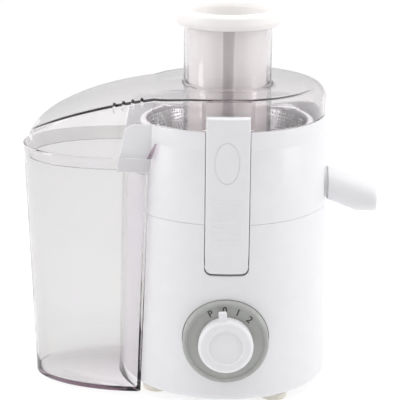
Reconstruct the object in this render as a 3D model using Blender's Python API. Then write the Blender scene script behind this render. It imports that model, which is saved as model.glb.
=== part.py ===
"""Centrifugal juicer with a clip-down clear lid, feed tube, pusher, filter basket and side pulp container.

Metres, +Z up. Everything is drawn around the drive axis, and the empty "juicer" moves it so that the
origin lies under the middle of the whole object. The front, with the dial, faces -Y. The spout is on
the +X side and the pulp container on the -X side.
"""

import math

import bmesh
import bpy
from mathutils import Vector

# Where the drive axis stands
AXIS_X = 0.02015
AXIS_Y = 0.0046

# White body: motor housing below the seam, juice collector above it
HOUSING_BOTTOM_Z = 0.0055
BODY_WIDEST_Z = 0.0137
BODY_WIDEST_R = 0.0797
SEAM_Z = 0.1432
SEAM_R = 0.0766
BODY_TOP_Z = 0.2120
BODY_TOP_R = 0.0750
SHELL_WALL = 0.0025
GAP = 0.0004
CONTACT_GAP = 0.0003
DECK_Z = 0.1340
BODY_STEPS = 40

# Lid
LID_BOTTOM_Z = BODY_TOP_Z + CONTACT_GAP
LID_TOP_Z = 0.2350
LID_WALL = 0.0022
LID_ROUND = 0.0090
TAIL_ROUND = 0.0045
TAIL_HALF_WIDTH = 0.0505
TAIL_END_X = -0.1516
TAIL_END_DROP = 0.0410
TAIL_POWER = 0.66
SKIRT_BOTTOM_Z = 0.1775
TUBE_R = 0.03335
TUBE_INNER_R = 0.0313
TUBE_TOP_Z = 0.2790
TUBE_BOTTOM_Z = 0.1665
ARC_STEPS = 28
TAIL_STEPS = 8

# Pusher
PUSHER_R = 0.0297
PUSHER_WALL = 0.0022
PUSHER_BOTTOM_Z = 0.1720
PUSHER_TOP_Z = 0.2910
PUSHER_RIM_R = 0.0398
KEYWAY_HALF_WIDTH = 0.0040
KEYWAY_DEPTH = 0.0027

# Pulp container
CONTAINER_RIM_Z = 0.1875
CONTAINER_BOTTOM_Z = 0.0008
CONTAINER_FLOOR_Z = 0.0040
CONTAINER_WALL = 0.0020
CONTAINER_CHUTE_Z = 0.1700
CORNER_BOTTOM = (-0.0640, 0.0500)
CORNER_RIM = (-0.0565, 0.0545)
CONTAINER_END_BOTTOM = -0.1490
CONTAINER_END_RIM = -0.1563
CONTAINER_POWER_BOTTOM = 1.85
CONTAINER_POWER_RIM = 2.75

# Clips, front and rear
CLIP_HALF_WIDTH = 0.0160
CLIP_OUTER_R = 0.0780
CLIP_INNER_R = 0.0740
CLIP_BOTTOM_Z = 0.1060
CLIP_TOP_Z = 0.2236
PIVOT_Y = 0.0734
PIVOT_Z = 0.1105
PIN_R = 0.0010
CHANNEL_HALF_WIDTH = 0.0165
CHANNEL_Y = 0.0714
CHANNEL_BOTTOM_Z = 0.1044
POCKET_R = 0.0062
LEDGE_Z = 0.2190
LEDGE_SLOPE = 0.45
LEDGE_BACK_Y = 0.0676
HOOK_TIP_Y = 0.0689

# Juice collector
WING_Y = 0.0477
WING_WALL = 0.0024
CHUTE_SILL_Z = 0.1820
BACKING_HALF_WIDTH = 0.0190

# Spout
SPOUT_ROOT_X = 0.0736
SPOUT_LEAVES_X = 0.0772
SPOUT_TIP_X = 0.1160
SPOUT_WALL = 0.0022
SPOUT_GAP = 0.0004

# Dial and knob
DIAL_Z = 0.0540
DIAL_R = 0.0322
DIAL_FRONT = 0.0820
KNOB_R = 0.0205
KNOB_FRONT = 0.0933
KNOB_REST_ANGLE = math.radians(6)

# Filter basket
BASKET_BOTTOM_R = 0.0540
BASKET_TOP_R = 0.0635
BASKET_BOTTOM_Z = 0.1654
BASKET_TOP_Z = 0.2030

# Motor
STACK_BOTTOM_Z = 0.0520
STACK_TOP_Z = 0.0880
STACK_HALF_X = 0.0330
STACK_HALF_Y = 0.0270
ARMATURE_R = 0.0200
AIR_GAP = 0.0006
SHAFT_R = 0.0040
TIE_X = 0.0290
TIE_Y = 0.0230
TIE_HOLE_R = 0.0021
BRACKET_LEG = 0.0064
BEARING_R = 0.0108
BEARING_BORE_R = 0.0043
BEARING_HEIGHT = 0.0068

# Feet
FOOT_R = 0.0092
FOOT_RING_R = 0.0640
FOOT_ANGLES = (-54.5, -144.5, 125.5, 35.5)
SCREW_ANGLES = (-20, 70, 160, 250)
SCREW_RING_R = 0.0605


def body_radius(z):
    """Outer radius of the white body at a height above its rounded bottom edge."""
    if z < SEAM_Z:
        share = (z - BODY_WIDEST_Z) / (SEAM_Z - BODY_WIDEST_Z)
        return BODY_WIDEST_R + share * (SEAM_R - BODY_WIDEST_R)
    share = (z - SEAM_Z) / (BODY_TOP_Z - SEAM_Z)
    return SEAM_R + share * (BODY_TOP_R - SEAM_R)


def lid_top(x):
    """Height of the lid's top: level over the body, falling in a convex curve along the tail."""
    share = min(1.0, max(0.0, x / TAIL_END_X))
    return LID_TOP_Z - TAIL_END_DROP * (1 - (1 - share * share) ** TAIL_POWER)


# Building blocks


def finish_mesh(name, bm):
    bmesh.ops.recalc_face_normals(bm, faces=bm.faces)
    mesh = bpy.data.meshes.new(name)
    bm.to_mesh(mesh)
    bm.free()
    mesh.shade_smooth()
    mesh.set_sharp_from_angle(angle=math.radians(35))
    node = bpy.data.objects.new(name, mesh)
    bpy.context.collection.objects.link(node)
    return node


def loft(name, rings, closed=False):
    """Joins each ring of points to the next. A closed loft joins the last ring to the first, an open one
    is capped, and a ring of one point is a pole."""
    bm = bmesh.new()
    made = [[bm.verts.new(point) for point in ring] for ring in rings]
    pairs = list(zip(made, made[1:]))
    if closed:
        pairs.append((made[-1], made[0]))
    for low, high in pairs:
        steps = max(len(low), len(high))
        for i in range(steps):
            j = (i + 1) % steps
            corners = [low[i % len(low)], low[j % len(low)], high[j % len(high)], high[i % len(high)]]
            bm.faces.new(dict.fromkeys(corners))
    if not closed:
        for ring in (made[0], made[-1]):
            if len(ring) > 2:
                bm.faces.new(ring)
    return finish_mesh(name, bm)


def circle(radius, z, steps, centre=(0.0, 0.0)):
    if radius == 0:
        return [(centre[0], centre[1], z)]
    turns = [2 * math.pi * i / steps for i in range(steps)]
    return [(centre[0] + radius * math.cos(a), centre[1] + radius * math.sin(a), z) for a in turns]


def lathe(name, profile, steps=32):
    """Turns a profile of (radius, height) about Z. One that starts and ends on the axis makes a solid,
    and any other makes a ring."""
    on_axis = profile[0][0] == 0 and profile[-1][0] == 0
    return loft(name, [circle(r, z, steps) for r, z in profile], closed=not on_axis)


def rod(name, radius, low, high, steps=20, centre=(0.0, 0.0)):
    return loft(name, [circle(radius, low, steps, centre), circle(radius, high, steps, centre)])


def prism(name, outline, low, high):
    return loft(name, [[(x, y, z) for x, y in outline] for z in (low, high)])


def block(name, low, high):
    outline = [(low[0], low[1]), (high[0], low[1]), (high[0], high[1]), (low[0], high[1])]
    return prism(name, outline, low[2], high[2])


def across(name, outline, half_width, mirrored=False):
    """A solid with the given (distance forward, height) outline, running from side to side along X."""
    sign = 1 if mirrored else -1
    return loft(name, [[(x, sign * d, z) for d, z in outline] for x in (-half_width, half_width)])


def bar_x(name, radius, distance, z, half_length, steps, mirrored=False):
    turns = [2 * math.pi * i / steps for i in range(steps)]
    outline = [(distance + radius * math.cos(a), z + radius * math.sin(a)) for a in turns]
    return across(name, outline, half_length, mirrored)


def material(name, colour, roughness, metallic=0.0, alpha=1.0):
    made = bpy.data.materials.new(name)
    made.use_nodes = True
    shader = made.node_tree.nodes["Principled BSDF"]
    shader.inputs["Base Color"].default_value = (*colour, 1.0)
    shader.inputs["Roughness"].default_value = roughness
    shader.inputs["Metallic"].default_value = metallic
    shader.inputs["Alpha"].default_value = alpha
    return made


def holder(name, location=(0.0, 0.0, 0.0), parent=None):
    """An empty that stands on a joint's axis."""
    empty = bpy.data.objects.new(name, None)
    bpy.context.collection.objects.link(empty)
    empty.location = location
    empty.parent = parent
    return empty


def attach(node, parent, finish, turn=(0.0, 0.0, 0.0)):
    """Hangs a piece drawn around the drive axis under its holder, and gives it its finish."""
    node.parent = parent
    node.location = -parent.location if parent.parent else Vector()
    node.rotation_euler = turn
    node.data.materials.append(finish)
    return node


def combine(node, operation, *tools):
    for tool in tools:
        step = node.modifiers.new(tool.name, "BOOLEAN")
        step.operation = operation
        step.object = tool
        step.solver = "EXACT"
        tool.parent = node
        tool.hide_render = True
        tool.display_type = "WIRE"


def join(node, *tools):
    combine(node, "UNION", *tools)


def cut(node, *tools):
    combine(node, "DIFFERENCE", *tools)


def facing_front(node, parent, finish, z, turn=0.0):
    """Places a piece turned about its own Z so that its Z points out of the front at height z."""
    attach(node, parent, finish)
    node.location = (node.location.x, node.location.y, node.location.z + z)
    node.rotation_euler = (math.pi / 2, turn, 0)


# Motor housing and what is fixed in it


def clip_channel(name, low, high, mirrored):
    outline = [(CHANNEL_Y, low), (0.0900, low), (0.0900, high), (CHANNEL_Y, high)]
    return across(name, outline, CHANNEL_HALF_WIDTH, mirrored)


def motor_housing(parent, finish):
    bottom_edge = BODY_WIDEST_Z - HOUSING_BOTTOM_Z
    inner_widest_r = BODY_WIDEST_R - SHELL_WALL
    profile = [(0.0660, HOUSING_BOTTOM_Z)]
    for degrees in (0, 22.5, 45, 67.5, 90):
        a = math.radians(degrees)
        profile.append(
            (
                BODY_WIDEST_R - bottom_edge * (1 - math.sin(a)),
                HOUSING_BOTTOM_Z + bottom_edge * (1 - math.cos(a)),
            )
        )
    rim_z = SEAM_Z - 0.0002
    profile += [
        (body_radius(rim_z), rim_z),
        (0.0736, rim_z),
        (0.0736, DECK_Z),
        (0.0120, DECK_Z),
        (0.0120, DECK_Z - SHELL_WALL),
        (0.0720, DECK_Z - SHELL_WALL),
        (0.0744, DECK_Z - 2 * SHELL_WALL),
        (inner_widest_r, BODY_WIDEST_Z),
        (0.0740, HOUSING_BOTTOM_Z + SHELL_WALL),
        (0.0660, HOUSING_BOTTOM_Z + SHELL_WALL),
    ]
    node = attach(lathe("motor_housing", profile, BODY_STEPS), parent, finish)
    for side, mirrored in (("front", False), ("rear", True)):
        backing = [(0.0689, 0.1180), (0.0730, 0.1180), (0.0730, 0.1320), (0.0689, 0.1320)]
        pocket_wall = [(0.0647, 0.1015), (0.0730, 0.1015), (0.0730, 0.1200), (0.0647, 0.1200)]
        join(node, across(f"{side}_backing", backing, 0.0195, mirrored))
        join(node, across(f"{side}_pocket_wall", pocket_wall, 0.0195, mirrored))
        cut(node, clip_channel(f"{side}_channel", CHANNEL_BOTTOM_Z, 0.1500, mirrored))
        pocket = bar_x(f"{side}_pocket", POCKET_R, PIVOT_Y, PIVOT_Z, CHANNEL_HALF_WIDTH, 20, mirrored)
        pin_hole = bar_x(f"{side}_pin_hole", 0.0013, PIVOT_Y, PIVOT_Z, 0.0184, 12, mirrored)
        cut(node, pocket, pin_hole)
    for i, degrees in enumerate(SCREW_ANGLES):
        a = math.radians(degrees)
        boss = block(f"boss_{i + 1}", (0.0560, -0.0045, 0.0082), (0.0782, 0.0045, 0.0240))
        boss.rotation_euler.z = a
        join(node, boss)
        hole = rod(f"boss_hole_{i + 1}", 0.0019, 0.0050, 0.0200, 8, (SCREW_RING_R, 0.0))
        hole.rotation_euler.z = a
        cut(node, hole)
    dial_hole = rod("dial_hole", DIAL_R + GAP, 0.0600, 0.0900, 32)
    dial_hole.location.z = DIAL_Z
    dial_hole.rotation_euler.x = math.pi / 2
    gland_hole = rod("gland_hole", 0.0064, 0.0600, 0.0900, 20)
    gland_hole.location.z = 0.0240
    gland_hole.rotation_euler.x = -math.pi / 2
    plunger_hole = rod("plunger_hole", 0.0023, 0.0650, 0.0800, 12)
    plunger_hole.location.z = 0.1240
    plunger_hole.rotation_euler.x = math.pi / 2
    cut(node, dial_hole, gland_hole, plunger_hole)


def bottom_cover(parent, finish):
    low, high = HOUSING_BOTTOM_Z, HOUSING_BOTTOM_Z + 0.0022
    node = attach(rod("bottom_cover", 0.0655, low, high, 32), parent, finish)
    for i in range(8):
        a = math.radians(45 * i)
        slot = block(f"air_slot_{i + 1}", (0.0180, -0.0016, 0.0), (0.0440, 0.0016, 0.0150))
        slot.rotation_euler.z = a
        cut(node, slot)
    for i, degrees in enumerate(SCREW_ANGLES):
        hole = rod(f"cover_hole_{i + 1}", 0.0019, 0.0, 0.0150, 8, (SCREW_RING_R, 0.0))
        hole.rotation_euler.z = math.radians(degrees)
        cut(node, hole)


def feet_and_screws(parent, rubber, steel):
    foot_names = ("foot_front_right", "foot_front_left", "foot_rear_left", "foot_rear_right")
    top = HOUSING_BOTTOM_Z - CONTACT_GAP
    for name, degrees in zip(foot_names, FOOT_ANGLES):
        foot = lathe(name, [(0, 0), (0.0084, 0), (FOOT_R, 0.0008), (FOOT_R, top), (0, top)], 20)
        attach(foot, parent, rubber)
        a = math.radians(degrees)
        foot.location = (FOOT_RING_R * math.cos(a), FOOT_RING_R * math.sin(a), 0)
    head = [(0, 0.0032), (0.0024, 0.0032), (0.0034, 0.0044), (0.0034, 0.0052), (0.0016, 0.0052)]
    for i, degrees in enumerate(SCREW_ANGLES):
        screw = lathe(f"cover_screw_{i + 1}", head + [(0.0016, 0.0185), (0, 0.0185)], 8)
        attach(screw, parent, steel)
        a = math.radians(degrees)
        screw.location = (SCREW_RING_R * math.cos(a), SCREW_RING_R * math.sin(a), 0)


def control_panel(parent, finish):
    profile = [
        (DIAL_R, 0.0665),
        (DIAL_R, DIAL_FRONT - 0.0014),
        (DIAL_R - 0.0016, DIAL_FRONT),
        (DIAL_R - 0.0036, DIAL_FRONT),
        (DIAL_R - 0.0042, DIAL_FRONT - 0.0010),
        (0.0042, DIAL_FRONT - 0.0010),
        (0.0042, DIAL_FRONT - 0.0032),
        (DIAL_R - 0.0023, DIAL_FRONT - 0.0032),
        (DIAL_R - 0.0023, 0.0665),
    ]
    facing_front(lathe("dial_ring", profile, 32), parent, finish, DIAL_Z)


def cord_gland(parent, finish):
    profile = [
        (0.0032, 0.0700),
        (0.0060, 0.0700),
        (0.0060, 0.0799),
        (0.0085, 0.0799),
        (0.0085, 0.0815),
        (0.0062, 0.0818),
        (0.0052, 0.0841),
        (0.0032, 0.0841),
    ]
    node = attach(lathe("cord_gland", profile, 20), parent, finish, (-math.pi / 2, 0, 0))
    node.location.z += 0.0240


def motor_brackets(parent, steel, brass):
    """Two plates with bearing cups and four legs each, clamping the laminated stack between them."""
    half = BRACKET_LEG / 2
    for name, plate_z, cup_end, leg_end in (
        ("upper_bearing_bracket", (0.1120, 0.1150), 0.1070, STACK_TOP_Z + CONTACT_GAP),
        ("lower_bearing_bracket", (0.0200, 0.0230), 0.0280, STACK_BOTTOM_Z - CONTACT_GAP),
    ):
        low = (-STACK_HALF_X, -STACK_HALF_Y, plate_z[0])
        high = (STACK_HALF_X, STACK_HALF_Y, plate_z[1])
        node = attach(block(name, low, high), parent, steel)
        cup_z = sorted((cup_end, sum(plate_z) / 2))
        join(node, rod(f"{name}_cup", 0.0135, *cup_z, 16))
        leg_z = sorted((leg_end, sum(plate_z) / 2))
        for i, (x, y) in enumerate(tie_places()):
            near, far = (x - half, y - half, leg_z[0]), (x + half, y + half, leg_z[1])
            join(node, block(f"{name}_leg_{i}", near, far))
        seat_z = (cup_end - 0.0010, 0.1142) if cup_end > STACK_TOP_Z else (0.0208, cup_end + 0.0010)
        cut(node, rod(f"{name}_seat", 0.0113, *seat_z, 16))
        cut(node, rod(f"{name}_shaft_hole", 0.0055, 0.0100, 0.1200, 12))
        for i, place in enumerate(tie_places()):
            cut(node, rod(f"{name}_tie_hole_{i}", TIE_HOLE_R, 0.0100, 0.1200, 8, place))
    for name, low in (("upper_bearing", 0.1070), ("lower_bearing", 0.0212)):
        high = low + BEARING_HEIGHT
        profile = [(BEARING_BORE_R, low), (BEARING_R, low), (BEARING_R, high), (BEARING_BORE_R, high)]
        attach(lathe(name, profile, 20), parent, brass)


def tie_places():
    return [(x, y) for x in (-TIE_X, TIE_X) for y in (-TIE_Y, TIE_Y)]


def stator(parent, steel, copper):
    low = (-STACK_HALF_X, -STACK_HALF_Y, STACK_BOTTOM_Z)
    node = attach(block("stator_core", low, (STACK_HALF_X, STACK_HALF_Y, STACK_TOP_Z)), parent, steel)
    cut(node, rod("stator_bore", ARMATURE_R + AIR_GAP, 0.0400, 0.1000, 28))
    for i, (x, y) in enumerate([(x, y) for x in (-1, 1) for y in (-1, 1)]):
        xs = sorted((x * 0.0215, x * 0.0290))
        ys = sorted((y * 0.0100, y * 0.0185))
        cut(node, block(f"coil_window_{i}", (xs[0], ys[0], 0.0400), (xs[1], ys[1], 0.1000)))
    for i, place in enumerate(tie_places()):
        cut(node, rod(f"stack_tie_hole_{i}", TIE_HOLE_R, 0.0400, 0.1000, 8, place))
    for name, sign in (("field_coil_left", -1), ("field_coil_right", 1)):
        outer = [(-0.0181, 0.0440), (0.0181, 0.0440), (0.0181, 0.0960), (-0.0181, 0.0960)]
        inner = [(-0.0104, 0.0516), (0.0104, 0.0516), (0.0104, 0.0884), (-0.0104, 0.0884)]
        near, far = sign * 0.0219, sign * 0.0286
        sides = ((outer, near), (inner, near), (inner, far), (outer, far))
        rings = [[(x, y, z) for y, z in outline] for outline, x in sides]
        attach(loft(name, rings, closed=True), parent, copper)


def motor_fasteners(parent, steel, rubber):
    for i, (x, y) in enumerate(tie_places()):
        head = [(0, 0.0170), (0.0030, 0.0170), (0.0030, 0.0197), (0.0016, 0.0197)]
        thread_end = [(0.0016, 0.1145), (0, 0.1145)]
        screw = attach(lathe(f"motor_screw_{i + 1}", head + thread_end, 8), parent, steel)
        screw.location = (x, y, 0)
        profile = [(0, 0.1153), (0.0062, 0.1153), (0.0055, 0.1233), (0.0062, 0.1312), (0, 0.1312)]
        mount = attach(lathe(f"motor_mount_{i + 1}", profile, 12), parent, rubber)
        mount.location = (x, y, 0)


def brushes(parent, plastic, carbon):
    for side, sign in (("left", -1), ("right", 1)):
        case = block(f"brush_holder_{side}", (0.0150, -0.0048, 0.0320), (0.0300, 0.0048, 0.0420))
        attach(case, parent, plastic)
        cut(case, block(f"brush_way_{side}", (0.0140, -0.0030, 0.0338), (0.0280, 0.0030, 0.0402)))
        brush = block(f"carbon_brush_{side}", (0.0119, -0.0027, 0.0341), (0.0270, 0.0027, 0.0399))
        attach(brush, parent, carbon)
        for node in (case, brush):
            node.rotation_euler.z = 0 if sign > 0 else math.pi


def switchgear(parent, black, film):
    attach(block("rotary_switch", (-0.0130, -0.0765, 0.0410), (0.0130, -0.0580, 0.0670)), parent, black)
    attach(block("interlock_switch", (-0.0065, -0.0570, 0.1170), (0.0065, -0.0480, 0.1300)), parent, black)
    attach(block("suppression_capacitor", (0.0200, -0.0560, 0.0300), (0.0380, -0.0470, 0.0460)), parent, film)


def shaft_seal(parent, rubber):
    profile = [(0.0044, 0.1322), (0.0115, 0.1322), (0.0115, 0.1360), (0.0060, 0.1360), (0.0044, 0.1350)]
    attach(lathe("shaft_seal", profile, 20), parent, rubber)


def clip_pins(parent, steel):
    for name, mirrored in (("front_clip_pin", False), ("rear_clip_pin", True)):
        attach(bar_x(name, PIN_R, PIVOT_Y, PIVOT_Z, 0.0181, 12, mirrored), parent, steel)


# Juice collector


def spout_section(x, wall):
    """Ring of the spout at a distance from the axis: it slopes down, narrows, and levels out below."""
    top = 0.1696 - 0.402 * (x - 0.0782) - wall
    bottom = max(0.1436 - 0.400 * max(0.0, x - SPOUT_LEAVES_X), 0.1341) + wall
    half_width = 0.0132 - 0.055 * (x - SPOUT_ROOT_X) - wall
    middle, half_height = (top + bottom) / 2, (top - bottom) / 2
    turns = [2 * math.pi * i / 20 for i in range(20)]
    return [(x, half_width * math.cos(a), middle + half_height * math.sin(a)) for a in turns]


def wing_outline(edge):
    """(x, z) outline of the body's side panel beside the pulp chute, its free edge moved out by edge."""
    corner, centre = 0.0090, (-0.0680, BODY_TOP_Z - 0.0090)
    points = [(-0.0500, 0.1720 - edge), (-0.0500, BODY_TOP_Z + edge)]
    for degrees in (90, 115, 140, 165):
        a = math.radians(degrees)
        r = corner + edge
        points.append((centre[0] + r * math.cos(a), centre[1] + r * math.sin(a)))
    points.append((-0.0824 - edge, 0.1720 - edge))
    return points


def juice_collector(parent, finish):
    profile = [
        (0.0732, 0.1350),
        (0.0732, SEAM_Z + 0.0002),
        (SEAM_R, SEAM_Z + 0.0002),
        (BODY_TOP_R, BODY_TOP_Z),
        (BODY_TOP_R - 0.0021, BODY_TOP_Z),
        (0.0742, 0.1510),
        (0.0705, 0.1470),
        (0.0270, 0.1470),
        (0.0225, 0.1530),
        (0.0195, 0.1530),
        (0.0195, 0.1410),
        (0.0220, 0.1410),
        (0.0220, 0.1446),
        (0.0708, 0.1446),
        (0.0708, 0.1350),
    ]
    node = attach(lathe("juice_collector", profile, BODY_STEPS), parent, finish)
    for side, mirrored in (("front", False), ("rear", True)):
        sign = 1 if mirrored else -1
        backing = [(0.0689, 0.1460), (0.0722, 0.1460), (0.0722, BODY_TOP_Z), (0.0689, BODY_TOP_Z)]
        faces_y = (WING_Y, WING_Y + WING_WALL)
        wing = [[(x, sign * y, z) for x, z in wing_outline(0.0)] for y in faces_y]
        join(node, across(f"{side}_collector_backing", backing, BACKING_HALF_WIDTH, mirrored))
        join(node, loft(f"{side}_wing", wing))
    for side, mirrored in (("front", False), ("rear", True)):
        cut(node, clip_channel(f"{side}_collector_channel", SEAM_Z - 0.0010, 0.2200, mirrored))
    cut(node, block("chute_opening", (-0.0900, -WING_Y, CHUTE_SILL_Z), (-0.0450, WING_Y, 0.2200)))
    cut(node, loft("spout_hole", [spout_section(x, -SPOUT_GAP) for x in (0.0690, 0.0800)]))


def juice_spout(parent, finish):
    """Tapering tube that plugs into the hole in the collector's wall and slopes down to its open tip."""
    length = SPOUT_TIP_X - SPOUT_LEAVES_X
    stations = [SPOUT_ROOT_X] + [SPOUT_LEAVES_X + length * i / 4 for i in range(5)]
    outside = [spout_section(x, 0.0) for x in stations]
    inside = [spout_section(x, SPOUT_WALL) for x in reversed(stations)]
    attach(loft("juice_spout", outside + inside, closed=True), parent, finish)


# Rotor: what the motor turns


def star(low_r, high_r, lobes, share, z):
    """Outline with lobes, each at the high radius over the given share of its pitch."""
    points = []
    for i in range(lobes):
        for radius, offset in ((high_r, -share), (high_r, share), (low_r, 1 - share), (low_r, 1 + share)):
            a = math.pi * (2 * i + offset) / lobes
            points.append((radius * math.cos(a), radius * math.sin(a), z))
    return points


def rotor(parent, finishes):
    steel, copper, black, white, iron = finishes
    attach(rod("motor_shaft", SHAFT_R, 0.0208, 0.1470, 16), parent, steel)
    core = [(0.0043, 0.0530), (ARMATURE_R, 0.0530), (ARMATURE_R, 0.0870), (0.0043, 0.0870)]
    attach(lathe("armature_core", core, 28), parent, iron)
    windings = (("armature_winding_upper", 0.0874, 0.0950), ("armature_winding_lower", 0.0526, 0.0450))
    for name, near, far in windings:
        middle = (near + far) / 2
        profile = [(0.0046, near), (0.0176, near), (0.0182, middle), (0.0150, far), (0.0046, far)]
        attach(lathe(name, profile, 20), parent, copper)
    profile = [(0.0043, 0.0320), (0.0115, 0.0320), (0.0115, 0.0420), (0.0043, 0.0420)]
    attach(lathe("commutator", profile, 20), parent, copper)
    blades = 10
    fan = [star(0.0110, 0.0290, blades, 0.12, z) for z in (0.0972, 0.1030)]
    bore = [circle(0.0043, z, 4 * blades) for z in (0.1030, 0.0972)]
    attach(loft("cooling_fan", fan + bore, closed=True), parent, black)
    lobes = 6
    outside = [star(0.0112, 0.0138, lobes, 0.30, z) for z in (0.1372, 0.1505)]
    bore = [[(0, 0, 0.1476)]] + [circle(0.0043, z, 4 * lobes) for z in (0.1476, 0.1372)]
    attach(loft("drive_coupling", bore + outside + [[(0, 0, 0.1505)]]), parent, black)
    hub = [
        (0, 0.1520),
        (0.0146, 0.1520),
        (0.0146, 0.1430),
        (0.0184, 0.1430),
        (0.0184, 0.1545),
        (0.0240, 0.1565),
        (0.0525, 0.1565),
        (0.0552, 0.1600),
        (0.0552, 0.1650),
        (0.0530, 0.1650),
        (0.0530, 0.1605),
        (0, 0.1605),
    ]
    attach(lathe("basket_hub", hub, 32), parent, white)


def grater_disc(parent, steel):
    """Thin disc whose top carries rings of small raised teeth."""
    low, high = 0.1608, 0.1617
    radii = [0.0100 + 0.0080 * i for i in range(6)]
    rings = [circle(r, high, 28) for r in radii]
    bm = bmesh.new()
    made = [[bm.verts.new(p) for p in ring] for ring in rings]
    teeth = []
    for k, (inner, outer) in enumerate(zip(made, made[1:])):
        for i in range(28):
            j = (i + 1) % 28
            face = bm.faces.new((inner[i], outer[i], outer[j], inner[j]))
            if (i + k) % 2 == 0 and k > 0:
                teeth.append(face)
    bm.faces.new(made[0])
    bottom = [bm.verts.new((p[0], p[1], low)) for p in rings[-1]]
    for i in range(28):
        j = (i + 1) % 28
        bm.faces.new((made[-1][i], bottom[i], bottom[j], made[-1][j]))
    bm.faces.new(bottom)
    bmesh.ops.recalc_face_normals(bm, faces=bm.faces)
    bmesh.ops.poke(bm, faces=teeth, offset=0.0011)
    attach(finish_mesh("grater_disc", bm), parent, steel)


def filter_basket(parent, steel, white):
    wall = 0.0008
    profile = [
        (BASKET_BOTTOM_R, BASKET_BOTTOM_Z),
        (BASKET_TOP_R, BASKET_TOP_Z),
        (BASKET_TOP_R - wall, BASKET_TOP_Z),
        (BASKET_BOTTOM_R - wall, BASKET_BOTTOM_Z),
    ]
    attach(lathe("filter_mesh", profile, 36), parent, steel)
    z = BASKET_TOP_Z + CONTACT_GAP
    profile = [
        (0.0618, z),
        (0.0650, z),
        (0.0660, z + 0.0010),
        (0.0660, z + 0.0028),
        (0.0648, z + 0.0038),
        (0.0618, z + 0.0038),
    ]
    attach(lathe("basket_rim", profile, 36), parent, white)


# Lid, pusher and container


def lid_steps():
    """The plan's stations: a turn about the axis over the body, then a quarter-turn scale on the tail."""
    steps = [("arc", -1 + 2 * i / ARC_STEPS) for i in range(ARC_STEPS + 1)]
    steps += [("tail", i / TAIL_STEPS) for i in range(1, 2 * TAIL_STEPS)]
    return steps


def lid_point(step, inset):
    """Plan of the lid's wall at a station: an arc around the body, then a tail over the container."""
    kind, share = step
    radius, half_width = BODY_TOP_R - inset, TAIL_HALF_WIDTH - inset
    join_x = -math.sqrt(radius**2 - half_width**2)
    if kind == "arc":
        a = share * math.atan2(half_width, join_x)
        return radius * math.cos(a), radius * math.sin(a)
    side, a = (1, share * math.pi / 2) if share <= 1 else (-1, (2 - share) * math.pi / 2)
    length = join_x - (TAIL_END_X + inset)
    return join_x - length * math.sin(a) ** (2 / 3), side * half_width * math.cos(a)


def lid_round(step):
    kind, share = step
    if kind == "arc":
        return LID_ROUND
    return LID_ROUND + (TAIL_ROUND - LID_ROUND) * math.sin(min(share, 2 - share) * math.pi / 2)


def lid(parent, finish):
    steps = lid_steps()

    def wall_ring(inset, low):
        """Bottom ring of the wall: over the body it stops at the seam, and the tail has a skirt."""
        ring = []
        for step in steps:
            x, y = lid_point(step, inset)
            ring.append((x, y, SKIRT_BOTTOM_Z if step[0] == "tail" else low))
        return ring

    def shoulder_ring(turn, inset):
        """Ring on the rounding between wall and top, on the outer face or inset by the wall."""
        ring = []
        for step in steps:
            r = lid_round(step)
            x, y = lid_point(step, inset + (r - inset) * (1 - math.cos(turn)))
            ring.append((x, y, lid_top(x) - r + (r - inset) * math.sin(turn)))
        return ring

    def top_ring(share, drop):
        """Ring on the top, part of the way in from the rounding to the feed tube."""
        ring = []
        for step in steps:
            x, y = lid_point(step, lid_round(step))
            toward_axis = TUBE_R / math.hypot(x, y)
            scale = 1 + share * (toward_axis - 1)
            ring.append((x * scale, y * scale, lid_top(x * scale) - drop))
        return ring

    def tube_ring(radius, z):
        ring = []
        for step in steps:
            x, y = lid_point(step, LID_ROUND)
            scale = radius / math.hypot(x, y)
            ring.append((x * scale, y * scale, z))
        return ring

    turns = [math.radians(d) for d in (0, 30, 60, 90)]
    under_z = LID_TOP_Z - LID_WALL
    outside = [wall_ring(0.0, LID_BOTTOM_Z)] + [shoulder_ring(a, 0.0) for a in turns]
    outside += [top_ring(0.33, 0.0), top_ring(0.66, 0.0), top_ring(0.94, 0.0)]
    tube = [tube_ring(TUBE_R, LID_TOP_Z + 0.0022), tube_ring(TUBE_R, TUBE_TOP_Z)]
    tube += [tube_ring(TUBE_INNER_R, TUBE_TOP_Z), tube_ring(TUBE_INNER_R, TUBE_BOTTOM_Z)]
    tube += [tube_ring(TUBE_R, TUBE_BOTTOM_Z), tube_ring(TUBE_R, under_z - 0.0002)]
    inside = [top_ring(0.66, LID_WALL), top_ring(0.33, LID_WALL)]
    inside += [shoulder_ring(a, LID_WALL) for a in reversed(turns)] + [wall_ring(LID_WALL, LID_BOTTOM_Z)]
    node = attach(loft("lid", outside + tube + inside, closed=True), parent, finish)
    cutter = [[(x, y, z) for x, z in wing_outline(0.0004)] for y in (-0.0620, 0.0620)]
    cut(node, loft("panel_clearance", cutter))
    rib = block("tube_rib", (-0.0032, -0.0320, 0.1720), (0.0032, -0.0280, 0.2780))
    join(node, rib)
    pad = [
        (0.0722, LID_BOTTOM_Z),
        (0.0722, 0.2260),
        (0.0685, 0.2326),
        (0.0651, 0.2334),
        (0.0651, LID_BOTTOM_Z),
    ]
    ledge_back_z = LEDGE_Z + LEDGE_SLOPE * (CHANNEL_Y - LEDGE_BACK_Y)
    recess = [
        (0.0900, 0.2050),
        (CHANNEL_Y, 0.2050),
        (CHANNEL_Y, LEDGE_Z),
        (LEDGE_BACK_Y, ledge_back_z),
        (LEDGE_BACK_Y, 0.2400),
        (0.0900, 0.2400),
    ]
    for side, mirrored in (("front", False), ("rear", True)):
        join(node, across(f"{side}_ledge", pad, BACKING_HALF_WIDTH, mirrored))
        cut(node, across(f"{side}_recess", recess, CHANNEL_HALF_WIDTH, mirrored))


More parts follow.
